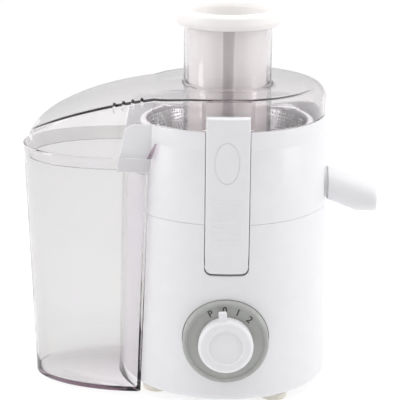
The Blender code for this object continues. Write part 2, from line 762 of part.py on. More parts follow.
def pusher(parent, finish):
    inner = PUSHER_R - PUSHER_WALL
    collar_z = TUBE_TOP_Z + 0.0004
    profile = [
        (0, PUSHER_BOTTOM_Z),
        (PUSHER_R - 0.0015, PUSHER_BOTTOM_Z),
        (PUSHER_R, PUSHER_BOTTOM_Z + 0.0015),
        (PUSHER_R, collar_z),
        (PUSHER_RIM_R - 0.0022, collar_z),
        (PUSHER_RIM_R, collar_z + 0.0030),
        (PUSHER_RIM_R, PUSHER_TOP_Z - 0.0028),
        (PUSHER_RIM_R - 0.0022, PUSHER_TOP_Z),
        (0.0325, PUSHER_TOP_Z),
        (0.0305, PUSHER_TOP_Z - 0.0030),
        (inner, collar_z + 0.0010),
        (inner, PUSHER_BOTTOM_Z + PUSHER_WALL),
        (0, PUSHER_BOTTOM_Z + PUSHER_WALL),
    ]
    node = attach(lathe("pusher", profile, 32), parent, finish)
    bottom_z = PUSHER_BOTTOM_Z
    half = KEYWAY_HALF_WIDTH
    floor_y = -(PUSHER_R - KEYWAY_DEPTH)
    backing = block(
        "keyway_backing",
        (-half - 0.0020, -PUSHER_R + 0.0012, bottom_z + 0.0010),
        (half + 0.0020, floor_y + PUSHER_WALL, collar_z + 0.0008),
    )
    groove = block("keyway", (-half, -0.0340, bottom_z - 0.0020), (half, floor_y, collar_z - 0.0002))
    join(node, backing)
    cut(node, groove)


def container_ring(z, inset):
    """Plan of the container at a height: a hollow arc against the body, then a tail away from it."""
    share = z / CONTAINER_RIM_Z
    corner_x = CORNER_BOTTOM[0] + share * (CORNER_RIM[0] - CORNER_BOTTOM[0])
    half_width = CORNER_BOTTOM[1] + share * (CORNER_RIM[1] - CORNER_BOTTOM[1]) - inset
    end_x = CONTAINER_END_BOTTOM + share * (CONTAINER_END_RIM - CONTAINER_END_BOTTOM) + inset
    power = CONTAINER_POWER_BOTTOM + share * (CONTAINER_POWER_RIM - CONTAINER_POWER_BOTTOM)
    radius = math.hypot(corner_x, half_width + inset) + inset
    corner_x = -math.sqrt(radius**2 - half_width**2)
    points = []
    steps = 11
    for i in range(2 * steps + 1):
        a = min(i, 2 * steps - i) * math.pi / 2 / steps
        side = 1 if i <= steps else -1
        x = corner_x + (end_x - corner_x) * math.sin(a) ** (2 / power)
        points.append((x, side * half_width * math.cos(a), z))
    corner_turn = math.atan2(half_width, -corner_x)
    arc_steps = 12
    for i in range(1, arc_steps):
        a = math.pi + corner_turn - 2 * corner_turn * i / arc_steps
        points.append((radius * math.cos(a), radius * math.sin(a), z))
    return points


def pulp_container(parent, finish):
    outside = [container_ring(CONTAINER_BOTTOM_Z, 0.0015), container_ring(CONTAINER_BOTTOM_Z + 0.0015, 0.0)]
    heights = [0.0600, 0.1200, CONTAINER_RIM_Z]
    outside += [container_ring(z, 0.0) for z in heights]
    inside = [container_ring(z, CONTAINER_WALL) for z in reversed(heights)]
    inside += [container_ring(CONTAINER_FLOOR_Z, CONTAINER_WALL)]
    node = attach(loft("pulp_container", outside + inside), parent, finish)
    for name, sign in (("front_ear", -1), ("rear_ear", 1)):
        foot = [(-0.0590, 0.0530), (-0.0562, 0.0530), (-0.0562, 0.0543), (-0.0590, 0.0543)]
        tip = [(-0.0536, 0.0560), (-0.0520, 0.0560), (-0.0520, 0.0573), (-0.0536, 0.0573)]
        ear = [[(x, sign * y, z) for x, y in ring] for ring, z in ((foot, 0.1800), (tip, 0.1990))]
        join(node, loft(name, ear))
    cut(node, block("chute_mouth", (-0.0812, -0.0514, CONTAINER_CHUTE_Z), (-0.0500, 0.0514, 0.2100)))


# Clips, dial and interlock


def clip(name, parent, finish, mirrored):
    """Curved strap with a hook over the lid at the top and a hinge barrel at the bottom."""
    sign = 1 if mirrored else -1
    xs = [CLIP_HALF_WIDTH * (-1 + i / 4) for i in range(9)]
    rings = []
    for z, outer_r in (
        (CLIP_BOTTOM_Z, CLIP_OUTER_R - 0.0016),
        (CLIP_BOTTOM_Z + 0.0016, CLIP_OUTER_R),
        (CLIP_TOP_Z - 0.0010, CLIP_OUTER_R),
        (CLIP_TOP_Z, CLIP_OUTER_R - 0.0010),
    ):
        outer = [(x, sign * math.sqrt(outer_r**2 - x * x), z) for x in xs]
        inner = [(x, sign * math.sqrt(CLIP_INNER_R**2 - x * x), z) for x in reversed(xs)]
        rings.append(outer + inner)
    node = attach(loft(name, rings), parent, finish)

    def hook_under(distance):
        return LEDGE_Z + 0.0005 + LEDGE_SLOPE * (CHANNEL_Y - distance)

    hook = [
        (0.0750, hook_under(0.0750)),
        (HOOK_TIP_Y, hook_under(HOOK_TIP_Y)),
        (HOOK_TIP_Y, 0.2220),
        (0.0702, 0.2233),
        (0.0750, 0.2233),
    ]
    join(node, across(f"{name}_hook", hook, 0.0156, mirrored))
    join(node, bar_x(f"{name}_barrel", 0.0028, PIVOT_Y, PIVOT_Z, 0.0157, 16, mirrored))
    cut(node, bar_x(f"{name}_pin_bore", 0.0013, PIVOT_Y, PIVOT_Z, 0.0200, 12, mirrored))


def knob(parent, white, steel):
    back = DIAL_FRONT - 0.0006
    profile = [
        (0, 0.0913),
        (0.0033, 0.0913),
        (0.0033, back),
        (KNOB_R - 0.0002, back),
        (KNOB_R, 0.0908),
        (KNOB_R - 0.0013, 0.0926),
        (0.0132, 0.0930),
        (0.0128, 0.0923),
        (0.0124, 0.0930),
        (0, KNOB_FRONT),
    ]
    node = lathe("speed_knob", profile, 28)
    pointer = block("pointer", (-0.0030, 0.0150, back + 0.0006), (0.0030, 0.0268, 0.0895))
    pointer.rotation_euler.z = KNOB_REST_ANGLE
    join(node, pointer)
    facing_front(node, parent, white, DIAL_Z)
    facing_front(rod("switch_spindle", 0.0030, 0.0768, 0.0910, 16), parent, steel, DIAL_Z)


def interlock_plunger(parent, finish):
    profile = [
        (0, 0.0576),
        (0.0034, 0.0576),
        (0.0034, 0.0600),
        (0.0019, 0.0600),
        (0.0019, 0.0730),
        (0.0011, 0.0736),
        (0, 0.0736),
    ]
    facing_front(lathe("interlock_plunger", profile, 16), parent, finish, 0.1240)


def build():
    for old in list(bpy.data.objects):
        bpy.data.objects.remove(old)

    white = material("white_abs", (0.86, 0.86, 0.87), 0.32)
    cream = material("cream_plastic", (0.87, 0.84, 0.80), 0.38)
    clear = material("clear_plastic", (0.90, 0.87, 0.88), 0.06, alpha=0.3)
    grey_green = material("dial_grey", (0.42, 0.46, 0.42), 0.45)
    rubber = material("foot_rubber", (0.72, 0.69, 0.63), 0.75)
    dark_rubber = material("seal_rubber", (0.05, 0.05, 0.05), 0.7)
    black = material("black_plastic", (0.03, 0.03, 0.03), 0.5)
    film = material("capacitor_film", (0.75, 0.62, 0.15), 0.4)
    stainless = material("stainless_steel", (0.62, 0.62, 0.63), 0.22, 1.0)
    zinc = material("zinc_steel", (0.55, 0.55, 0.56), 0.35, 1.0)
    laminate = material("laminated_iron", (0.22, 0.22, 0.23), 0.5, 1.0)
    copper = material("enamelled_copper", (0.55, 0.22, 0.10), 0.3, 1.0)
    carbon = material("carbon", (0.04, 0.04, 0.045), 0.6)

    juicer = holder("juicer", (AXIS_X, AXIS_Y, 0))
    juicer_parts = holder("base_parts", parent=juicer)
    motor_housing(juicer_parts, white)
    bottom_cover(juicer_parts, white)
    feet_and_screws(juicer_parts, rubber, zinc)
    control_panel(juicer_parts, grey_green)
    cord_gland(juicer_parts, white)
    shaft_seal(juicer_parts, dark_rubber)
    stator(juicer_parts, laminate, copper)
    motor_brackets(juicer_parts, zinc, stainless)
    motor_fasteners(juicer_parts, zinc, dark_rubber)
    brushes(juicer_parts, black, carbon)
    switchgear(juicer_parts, black, film)
    clip_pins(juicer_parts, zinc)
    juice_collector(juicer_parts, white)
    juice_spout(juicer_parts, white)

    rotor_axis = holder("rotor_axis", parent=juicer)
    rotor(rotor_axis, (zinc, copper, black, white, laminate))
    grater_disc(rotor_axis, stainless)
    filter_basket(rotor_axis, stainless, white)

    lid_slide = holder("lid_slide", parent=juicer)
    lid(lid_slide, clear)
    pusher(holder("pusher_slide", parent=lid_slide), cream)
    pulp_container(holder("container_slide", parent=juicer), clear)

    front_pivot = holder("front_clip_pivot", (0, -PIVOT_Y, PIVOT_Z), juicer)
    rear_pivot = holder("rear_clip_pivot", (0, PIVOT_Y, PIVOT_Z), juicer)
    clip("front_clip", front_pivot, white, mirrored=False)
    clip("rear_clip", rear_pivot, white, mirrored=True)
    knob(holder("knob_axis", (0, -DIAL_FRONT, DIAL_Z), juicer), white, zinc)
    interlock_plunger(holder("interlock_slide", (0, -CHANNEL_Y, 0.1240), juicer), black)


build()
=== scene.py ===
import math

import bmesh
import bpy
from mathutils import Matrix, Quaternion, Vector


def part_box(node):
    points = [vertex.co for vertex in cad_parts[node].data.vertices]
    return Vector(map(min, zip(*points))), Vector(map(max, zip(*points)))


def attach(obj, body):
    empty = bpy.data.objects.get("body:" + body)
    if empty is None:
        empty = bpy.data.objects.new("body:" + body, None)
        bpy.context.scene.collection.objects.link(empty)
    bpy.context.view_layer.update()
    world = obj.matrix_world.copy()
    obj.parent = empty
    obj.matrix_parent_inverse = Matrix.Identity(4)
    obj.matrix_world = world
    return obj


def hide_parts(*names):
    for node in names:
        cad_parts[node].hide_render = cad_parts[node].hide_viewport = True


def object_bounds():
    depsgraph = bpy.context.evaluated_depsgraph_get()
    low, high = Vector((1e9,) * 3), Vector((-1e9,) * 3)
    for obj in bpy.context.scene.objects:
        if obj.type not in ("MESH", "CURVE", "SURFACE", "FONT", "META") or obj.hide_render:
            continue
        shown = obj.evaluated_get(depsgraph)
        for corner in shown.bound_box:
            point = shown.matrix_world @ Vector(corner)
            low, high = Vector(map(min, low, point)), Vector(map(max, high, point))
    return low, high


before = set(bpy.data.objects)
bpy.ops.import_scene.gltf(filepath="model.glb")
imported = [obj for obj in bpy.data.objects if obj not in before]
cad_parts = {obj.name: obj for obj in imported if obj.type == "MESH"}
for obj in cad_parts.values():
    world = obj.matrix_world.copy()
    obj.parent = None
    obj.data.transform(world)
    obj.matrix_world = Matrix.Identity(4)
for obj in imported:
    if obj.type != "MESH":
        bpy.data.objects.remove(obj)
cad_low, cad_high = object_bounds()


# Motor housing. The lower white drum, injection moulded in ABS with a satin surface. It widens a little
# towards its big rounded bottom edge, carries the motor on its inner deck, and has a flat channel front
# and rear for the clips, a round hole for the dial, one for the mains lead and one for the safety plunger.

housing_low, housing_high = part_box("motor_housing")
shaft_low, shaft_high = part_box("motor_shaft")
axis = (shaft_low + shaft_high) / 2
front_clip_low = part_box("front_clip")[0]
plunger_low, plunger_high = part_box("interlock_plunger")
gland_low, gland_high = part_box("cord_gland")
dial_low, dial_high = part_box("dial_ring")

widest_radius = (housing_high.x - housing_low.x) / 2
widest_z = housing_low.z + 0.0082
seam_radius = 0.0766
drum_wall = 0.0025
deck_z = 0.1340
channel_half_width = 0.0165
channel_back = 0.0714
channel_bottom = front_clip_low.z - 0.0016
channel_corner = 0.0056
mouth_edge = 0.0008
clear_of_drum = 0.0900
pivot_forward = 0.0734
pivot_z = 0.1105
pin_hole_radius = 0.0013
DRUM_SIDES = 192


def draw(primitive, **sizes):
    """Draws a new primitive with nothing else selected."""
    bpy.ops.object.select_all(action="DESELECT")
    primitive(**sizes)


def only(piece):
    """Leaves just this piece selected and active."""
    bpy.ops.object.select_all(action="DESELECT")
    piece.select_set(True)
    bpy.context.view_layer.objects.active = piece
    return piece


def named(name, at=(0, 0, 0), turn=(0, 0, 0)):
    """Names the piece just drawn, stands it in its place and works that place into its mesh."""
    piece = bpy.context.object
    piece.name = name
    piece.data.name = name
    piece.location = Vector(piece.location) + Vector(at)
    piece.rotation_euler = turn
    only(piece)
    bpy.ops.object.transform_apply(location=True, rotation=True, scale=True)
    return piece


def open_mesh(kind, action="SELECT"):
    """Opens the active piece's mesh for editing by edges or faces, with all or none of them selected."""
    bpy.ops.object.mode_set(mode="EDIT")
    bpy.ops.mesh.select_mode(type=kind)
    bpy.ops.mesh.select_all(action=action)


def close_mesh():
    """Turns all the faces outwards and closes the mesh."""
    bpy.ops.mesh.select_all(action="SELECT")
    bpy.ops.mesh.normals_make_consistent(inside=False)
    bpy.ops.object.mode_set(mode="OBJECT")


def rounded(corners, closed=True, steps=5):
    """Outline through corners of (across, up) or (across, up, rounding), with each rounding as an arc."""
    points = []
    for i, (across, up, *rounding) in enumerate(corners):
        if not rounding or (not closed and i in (0, len(corners) - 1)):
            points.append((across, up))
            continue
        corner = Vector((across, up))
        back = Vector(corners[i - 1][:2]) - corner
        on = Vector(corners[(i + 1) % len(corners)][:2]) - corner
        half = back.angle(on) / 2
        reach = min(rounding[0] / math.tan(half), 0.49 * back.length, 0.49 * on.length)
        r = reach * math.tan(half)
        back.normalize()
        on.normalize()
        centre = corner + (back + on).normalized() * (r / math.sin(half))
        start = corner + back * reach - centre
        end = corner + on * reach - centre
        first = math.atan2(start.y, start.x)
        turn = (math.atan2(end.y, end.x) - first + math.pi) % (2 * math.pi) - math.pi
        for k in range(steps + 1):
            a = first + turn * k / steps
            points.append((centre.x + r * math.cos(a), centre.y + r * math.sin(a)))
    return points


def turned(name, sides, corners, at=None, turn=(0, 0, 0), steps=5):
    """Turns an outline through corners of (radius, height) or (radius, height, rounding): a circle is
    drawn at its first point and drawn out through the rest. An outline that starts and ends on the axis
    closes into a solid, and any other into a ring."""
    solid = corners[0][0] == 0
    outline = rounded(corners, not solid, steps)
    rings = outline[1:-1] if solid else outline
    draw(bpy.ops.mesh.primitive_circle_add, vertices=sides, radius=rings[0][0], location=(0, 0, 0))
    open_mesh("EDGE")
    bpy.ops.transform.translate(value=(0, 0, rings[0][1]))

    def draw_out(from_point, to_point):
        rise = to_point[1] - from_point[1]
        share = to_point[0] / from_point[0]
        bpy.ops.mesh.extrude_edges_move(TRANSFORM_OT_translate={"value": (0, 0, rise)})
        bpy.ops.transform.resize(value=(share, share, 1), center_override=(0, 0, to_point[1]))

    for from_point, to_point in zip(rings, rings[1:]):
        draw_out(from_point, to_point)
    if solid:
        draw_out(rings[-1], outline[-1])
        bpy.ops.mesh.remove_doubles(threshold=1e-6)
        bpy.ops.mesh.select_all(action="DESELECT")
        bpy.ops.mesh.select_non_manifold()
        draw_out(rings[0], outline[0])
        bpy.ops.mesh.remove_doubles(threshold=1e-6)
    else:
        bpy.ops.mesh.select_all(action="DESELECT")
        bpy.ops.mesh.select_non_manifold()
        bpy.ops.mesh.bridge_edge_loops()
    close_mesh()
    return named(name, (axis.x, axis.y, 0) if at is None else at, turn)


def block(name, low, high):
    """Rectangular block between two corners measured from the drive axis."""
    low, high = Vector(low), Vector(high)
    draw(bpy.ops.mesh.primitive_cube_add, size=1, location=(low + high) / 2, scale=high - low)
    return named(name, (axis.x, axis.y, 0))


def slab(name, side, half_width, near, far, low_z, high_z):
    """Block at the front (side -1) or rear (side 1) of the drum, between two distances from the axis."""
    low_y, high_y = sorted((side * near, side * far))
    return block(name, (-half_width, low_y, low_z), (half_width, high_y, high_z))


def bar(name, radius, start, end, sides=48):
    """Round bar between two points measured from the drive axis."""
    start, end = Vector(start), Vector(end)
    lean = (end - start).to_track_quat("Z", "Y").to_euler()
    draw(
        bpy.ops.mesh.primitive_cylinder_add,
        vertices=sides,
        radius=radius,
        depth=(end - start).length,
        location=(start + end) / 2,
    )
    return named(name, (axis.x, axis.y, 0), lean)


def hinge_bar(name, side, radius, half_length, sides=48):
    """Round bar along the hinge line of the front or rear clip."""
    y = side * pivot_forward
    return bar(name, radius, (-half_length, y, pivot_z), (half_length, y, pivot_z), sides)


def moved(piece, *steps):
    """Works steps into the piece's mesh, each a distance to move by or an (angle, axis) to turn by."""
    for step in steps:
        is_turn = len(step) == 2
        piece.data.transform(Matrix.Rotation(step[0], 4, step[1]) if is_turn else Matrix.Translation(step))


def bevel_edges(piece, width, segments, wanted):
    """Rounds the edges that the given test picks out by their two ends and the angle they fold by."""
    only(piece)
    open_mesh("EDGE", "DESELECT")
    shape = bmesh.from_edit_mesh(piece.data)
    centre = Vector((axis.x, axis.y, 0))
    for edge in shape.edges:
        fold = edge.calc_face_angle(0.0)
        edge.select_set(fold > 0.3 and wanted(edge.verts[0].co - centre, edge.verts[1].co - centre, fold))
    bmesh.update_edit_mesh(piece.data)
    bpy.ops.mesh.bevel(offset=width, segments=segments, profile=0.5, clamp_overlap=False)
    bpy.ops.object.mode_set(mode="OBJECT")


def combine(piece, operation, *tools):
    """Cuts the tools from the piece or joins them to it, one after another, and clears them away."""
    only(piece)
    for tool in tools:
        bpy.ops.object.modifier_add(type="BOOLEAN")
        step = piece.modifiers[-1]
        step.operation = operation
        step.object = tool
        step.solver = "EXACT"
        bpy.ops.object.modifier_apply(modifier=step.name)
        bpy.data.objects.remove(tool)
    return piece


def smooth(piece, degrees=35):
    """Shades the piece smooth except across edges that fold by more than the given angle."""
    only(piece)
    bpy.ops.object.shade_smooth_by_angle(angle=math.radians(degrees))
    return piece


def feed(made, node, **inputs):
    """Sets a node's inputs, named with underscores for spaces, to values or to other nodes' outputs."""
    for label, given in inputs.items():
        socket = node.inputs[label.replace("_", " ")]
        if isinstance(given, bpy.types.NodeSocket):
            made.node_tree.links.new(given, socket)
        else:
            socket.default_value = given
    return node


def add_node(made, kind, **inputs):
    """Adds a shader node to a material or world."""
    return feed(made, made.node_tree.nodes.new(f"ShaderNode{kind}"), **inputs)


def ramp(made, factor, *stops):
    """Colour ramp through stops of (place, colour)."""
    shades = add_node(made, "ValToRGB", Fac=factor)
    shades.color_ramp.elements[0].position = stops[0][0]
    shades.color_ramp.elements[0].color = (*stops[0][1], 1)
    shades.color_ramp.elements[1].position = stops[-1][0]
    shades.color_ramp.elements[1].color = (*stops[-1][1], 1)
    for place, colour in stops[1:-1]:
        shades.color_ramp.elements.new(place).color = (*colour, 1)
    return shades.outputs["Color"]


def new_material(name):
    """New Principled material, with its shader."""
    made = bpy.data.materials.new(name)
    made.use_nodes = True
    return made, made.node_tree.nodes["Principled BSDF"]


def finish(name, light, dark, smoothest, roughest, grain, relief, stretch=(1, 1, 1), metallic=0.0):
    """Material with two close shades in soft clouds, a roughness that drifts with them, and a fine relief.
    Grain is the number of its features per metre, and relief their height in metres."""
    made, shader = new_material(name)
    where = add_node(made, "TexCoord").outputs["Object"]
    spread = add_node(made, "Mapping", Vector=where, Scale=stretch).outputs["Vector"]
    clouds = add_node(made, "TexNoise", Vector=spread, Scale=grain / 12, Detail=3).outputs["Fac"]
    drift = add_node(made, "TexNoise", Vector=spread, Scale=grain / 5, Detail=4).outputs["Fac"]
    grains = add_node(made, "TexNoise", Vector=spread, Scale=grain, Detail=2).outputs["Fac"]
    sheen = add_node(
        made, "MapRange", Value=drift, From_Min=0.3, From_Max=0.7, To_Min=smoothest, To_Max=roughest
    )
    bump = add_node(made, "Bump", Strength=0.5, Distance=relief, Height=grains)
    feed(
        made,
        shader,
        Metallic=metallic,
        Base_Color=ramp(made, clouds, (0.35, dark), (0.65, light)),
        Roughness=sheen.outputs["Result"],
        Normal=bump.outputs["Normal"],
    )
    return made


def dress(piece, material, body, slot, *nodes):
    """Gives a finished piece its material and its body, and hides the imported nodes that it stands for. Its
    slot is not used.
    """
    piece.data.materials.clear()
    piece.data.materials.append(material)
    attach(piece, body)
    if nodes:
        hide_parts(*nodes)
    return piece


def drum_radius(z):
    """Outer radius of the housing's tapering wall at a height."""
    return widest_radius + (z - widest_z) * (seam_radius - widest_radius) / (housing_high.z - widest_z)


white_abs = finish("white_abs", (0.82, 0.815, 0.835), (0.805, 0.80, 0.82), 0.28, 0.36, 1300, 0.00001)

bottom_z, top_z = housing_low.z, housing_high.z
housing = turned("drum_housing", DRUM_SIDES, [
    (0.0660, bottom_z, 0.0003),
    (drum_radius(bottom_z), bottom_z, 0.0082),
    (drum_radius(top_z), top_z, 0.00015),
    (0.0736, top_z, 0.0003),
    (0.0736, deck_z, 0.0003),
    (0.0120, deck_z, 0.0003),
    (0.0120, deck_z - drum_wall),
    (0.0720, deck_z - drum_wall),
    (0.0744, deck_z - 2 * drum_wall),
    (widest_radius - drum_wall, widest_z, 0.0030),
    (0.0740, bottom_z + drum_wall),
    (0.0660, bottom_z + drum_wall),
])
for side in (-1, 1):
    backing = slab("channel_backing", side, 0.0195, 0.0689, 0.0730, 0.1180, 0.1325)
    pocket_wall = slab("pocket_wall", side, 0.0195, 0.0647, 0.0730, 0.1015, 0.1200)
    combine(housing, "UNION", backing, pocket_wall)
    channel = slab(
        "channel", side, channel_half_width, channel_back, clear_of_drum, channel_bottom, 0.1500
    )
    bevel_edges(
        channel,
        channel_corner,
        8,
        lambda a, b, fold: max(a.z, b.z) < channel_bottom + 0.0001 and abs(a.x - b.x) < 1e-5,
    )
    pocket = hinge_bar("hinge_pocket", side, 0.0066, channel_half_width)
    combine(pocket, "INTERSECT", slab("pocket_depth", side, 0.0200, 0.0600, 0.0746, 0.1000, 0.1200))
    pin_hole = hinge_bar("pin_hole", side, pin_hole_radius, 0.0184, 20)
    combine(housing, "DIFFERENCE", channel, pocket, pin_hole)
dial_z = (dial_low.z + dial_high.z) / 2
dial_radius = (dial_high.z - dial_low.z) / 2
gland_z = (gland_low.z + gland_high.z) / 2
plunger_z = (plunger_low.z + plunger_high.z) / 2
combine(
    housing,
    "DIFFERENCE",
    bar("dial_hole", dial_radius + 0.0004, (0, -0.0600, dial_z), (0, -0.0900, dial_z), 128),
    bar("gland_hole", 0.0064, (0, 0.0600, gland_z), (0, 0.0900, gland_z)),
    bar("plunger_hole", 0.0023, (0, -0.0650, plunger_z), (0, -0.0800, plunger_z), 24),
)


def on_channel_mouth(a, b, fold):
    """True for an edge where a clip channel's side or bottom meets the outside of the drum."""
    if fold < 0.6 or min(a.z, b.z) > housing_high.z - 0.0012 or max(abs(a.x), abs(b.x)) > 0.0175:
        return False
    outside = [math.hypot(p.x, p.y) > drum_radius(p.z) - 0.0002 for p in (a, b)]
    return all(outside) and min(a.z, b.z) > channel_bottom - 0.0005


bevel_edges(housing, mouth_edge, 4, on_channel_mouth)
dress(smooth(housing), white_abs, "base", "white_body", "motor_housing")


# Bottom cover. A flat ABS disc let into the underside, with eight air slots for the motor fan and four
# sunk screw holes. Four zinc-plated cross-head screws hold it to bosses in the housing.

cover_low, cover_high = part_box("bottom_cover")
cover_radius = (cover_high.x - cover_low.x) / 2
cover = turned("base_cover", 128, [
    (0, cover_low.z),
    (cover_radius, cover_low.z, 0.0004),
    (cover_radius, cover_high.z, 0.0003),
    (0, cover_high.z),
])
for i in range(8):
    vent = block("air_slot", (0.0180, -0.0016, 0.0), (0.0440, 0.0016, 0.0150))
    bevel_edges(vent, 0.00155, 4, lambda p, q, fold: abs(p.z - q.z) > 0.01)
    moved(vent, -axis.xy.to_3d(), (math.radians(45 * i), "Z"), axis.xy.to_3d())
    combine(cover, "DIFFERENCE", vent)
screw_places = []
for i in range(4):
    screw_low, screw_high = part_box(f"cover_screw_{i + 1}")
    place = (screw_low + screw_high) / 2 - axis
    screw_places.append(place)
    screw_hole = bar("screw_hole", 0.0019, (place.x, place.y, 0.0), (place.x, place.y, 0.0150), 24)
    combine(cover, "DIFFERENCE", screw_hole)
dress(smooth(cover), white_abs, "base", "white_body", "bottom_cover")

zinc_plate = finish(
    "zinc_plate", (0.66, 0.67, 0.69), (0.52, 0.53, 0.55), 0.22, 0.42, 1800, 0.00001, metallic=1.0
)
for i, place in enumerate(screw_places):
    screw_low, screw_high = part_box(f"cover_screw_{i + 1}")
    screw = turned(f"pan_screw_{i + 1}", 32, [
        (0, screw_low.z),
        (0.0034, screw_low.z, 0.0009),
        (0.0034, screw_low.z + 0.0019, 0.0002),
        (0.0016, screw_low.z + 0.0019),
        (0.0016, screw_high.z - 0.0010),
        (0.0008, screw_high.z),
        (0, screw_high.z),
    ], (axis.x + place.x, axis.y + place.y, 0), steps=3)
    for long, wide in ((0.0020, 0.0005), (0.0005, 0.0020)):
        cross = block(
            "cross_slot",
            (place.x - long, place.y - wide, screw_low.z - 0.0005),
            (place.x + long, place.y + wide, screw_low.z + 0.0009),
        )
        combine(screw, "DIFFERENCE", cross)
    dress(smooth(screw), zinc_plate, "base", "zinc_steel", f"cover_screw_{i + 1}")


# Feet. Four soft cream rubber pads pressed into the underside, each with a rounded tread edge and a
# shallow hollow in its sole.

foot_rubber = finish("cream_rubber", (0.80, 0.765, 0.69), (0.735, 0.70, 0.625), 0.55, 0.8, 3000, 0.00004)
foot_flange = 0.0018
for name in ("foot_front_right", "foot_front_left", "foot_rear_left", "foot_rear_right"):
    foot_low, foot_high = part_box(name)
    middle = (foot_low + foot_high) / 2
    foot_radius = (foot_high.x - foot_low.x) / 2 + foot_flange
    foot = turned(f"{name}_pad", 64, [
        (0, 0.0006),
        (0.0048, 0.0006, 0.0002),
        (0.0052, 0.0, 0.0002),
        (foot_radius - 0.0006, 0.0, 0.0010),
        (foot_radius, foot_high.z, 0.0003),
        (0, foot_high.z),
    ], (middle.x, middle.y, 0))
    dress(smooth(foot), foot_rubber, "base", "foot_rubber", name)


# Cord gland. A white flanged bush in the rear wall that the mains lead passes through.

gland = turned("lead_bush", 64, [
    (0.0032, gland_low.y - axis.y, 0.0003),
    (0.0060, gland_low.y - axis.y, 0.0003),
    (0.0060, 0.0799),
    (0.0085, 0.0799, 0.0004),
    (0.0085, 0.0815, 0.0005),
    (0.0060, 0.0820, 0.0004),
    (0.0052, gland_high.y - axis.y, 0.0006),
    (0.0032, gland_high.y - axis.y, 0.0006),
], (axis.x, axis.y, gland_z), (-math.pi / 2, 0, 0))
dress(smooth(gland), white_abs, "base", "white_body", "cord_gland")


# Juice collector. The upper white drum, moulded in one with the gutter that runs round the filter basket
# and with a side panel on each side of the pulp chute. A shallow sunk band runs round it below its rim.

collector_low, collector_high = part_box("juice_collector")
spout_low, spout_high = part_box("juice_spout")
rim_z = collector_high.z
rim_radius = 0.0750
wing_inner_y = 0.0477
wing_outer_y = 0.0501
wing_bottom_z = 0.1762
wing_corner = 0.0090
wing_corner_x = -0.0680
wing_foot_x = collector_low.x - axis.x
chute_sill_z = 0.1820


def collector_radius(z):
    """Outer radius of the collector's wall at a height."""
    return seam_radius + (z - 0.1432) * (rim_radius - seam_radius) / (rim_z - 0.1432)


seam_z = housing_high.z + 0.0002
step_z = 0.1972
collector = turned("gutter_drum", DRUM_SIDES, [
    (0.0732, 0.1350),
    (0.0732, seam_z),
    (collector_radius(seam_z), seam_z, 0.00015),
    (collector_radius(step_z), step_z),
    (collector_radius(step_z) - 0.00022, step_z + 0.0004),
    (collector_radius(step_z) - 0.00022, step_z + 0.0024),
    (collector_radius(step_z + 0.0030), step_z + 0.0030),
    (rim_radius, rim_z, 0.0007),
    (rim_radius - 0.0021, rim_z, 0.0006),
    (0.0742, 0.1510, 0.0030),
    (0.0705, 0.1470, 0.0020),
    (0.0270, 0.1470, 0.0020),
    (0.0225, 0.1530, 0.0006),
    (0.0195, 0.1530, 0.0006),
    (0.0195, 0.1410),
    (0.0220, 0.1410),
    (0.0220, 0.1446),
    (0.0708, 0.1446),
    (0.0708, 0.1350),
], steps=4)


def lofted(name, rings, shut=False):
    """Skin through rings of points measured from the drive axis, each joined to the next. A shut skin
    comes round to its first ring again, and an open one is capped at both ends."""
    skin = bmesh.new()
    made = [[skin.verts.new(Vector(p) + axis.xy.to_3d()) for p in ring] for ring in rings]
    pairs = list(zip(made, made[1:]))
    if shut:
        pairs.append((made[-1], made[0]))
    for low, high in pairs:
        for i in range(len(low)):
            j = (i + 1) % len(low)
            skin.faces.new((low[i], low[j], high[j], high[i]))
    if not shut:
        skin.faces.new(made[0])
        skin.faces.new(made[-1])
    bmesh.ops.recalc_face_normals(skin, faces=skin.faces)
    mesh = bpy.data.meshes.new(name)
    skin.to_mesh(mesh)
    skin.free()
    piece = bpy.data.objects.new(name, mesh)
    bpy.context.collection.objects.link(piece)
    return piece


def wing_outline(edge):
    """(x, z) outline of a side panel, with its free edge moved out by the given amount."""
    points = [(-0.0500, wing_bottom_z - edge), (-0.0500, rim_z + edge)]
    for k in range(11):
        a = math.radians(90 + 7.5 * k)
        r = wing_corner + edge
        points.append((wing_corner_x + r * math.cos(a), rim_z - wing_corner + r * math.sin(a)))
    points.append((wing_foot_x - edge, wing_bottom_z - edge))
    return points


for side in (-1, 1):
    backing = slab("channel_backing", side, 0.0190, 0.0689, 0.0722, 0.1460, rim_z)
    wing = lofted(
        "wing",
        [[(x, side * y, z) for x, z in wing_outline(0.0)] for y in (wing_inner_y, wing_outer_y)],
    )
    bevel_edges(
        wing, 0.0008, 3, lambda a, b, fold: abs(a.y - b.y) < 1e-5 and max(a.x, b.x) < -0.0505 and fold > 1.0
    )
    combine(collector, "UNION", backing, wing)
for side in (-1, 1):
    channel = slab("channel", side, channel_half_width, channel_back, clear_of_drum, 0.1420, 0.2200)
    combine(collector, "DIFFERENCE", channel)
chute = block("chute", (-0.0900, -wing_inner_y, chute_sill_z), (-0.0450, wing_inner_y, 0.2200))
combine(collector, "DIFFERENCE", chute)


# Juice spout. A tapering oval tube in the same white ABS, plugged into the collector's wall on the right.
# It slopes down, narrows, and ends in an open lip with a thin rounded edge.

spout_root_x = spout_low.x - axis.x
spout_leaves_x = 0.0772
spout_tip_x = spout_high.x - axis.x
spout_wall = 0.0022
spout_neck = 0.0015
spout_neck_x = 0.0775
SPOUT_SIDES = 72


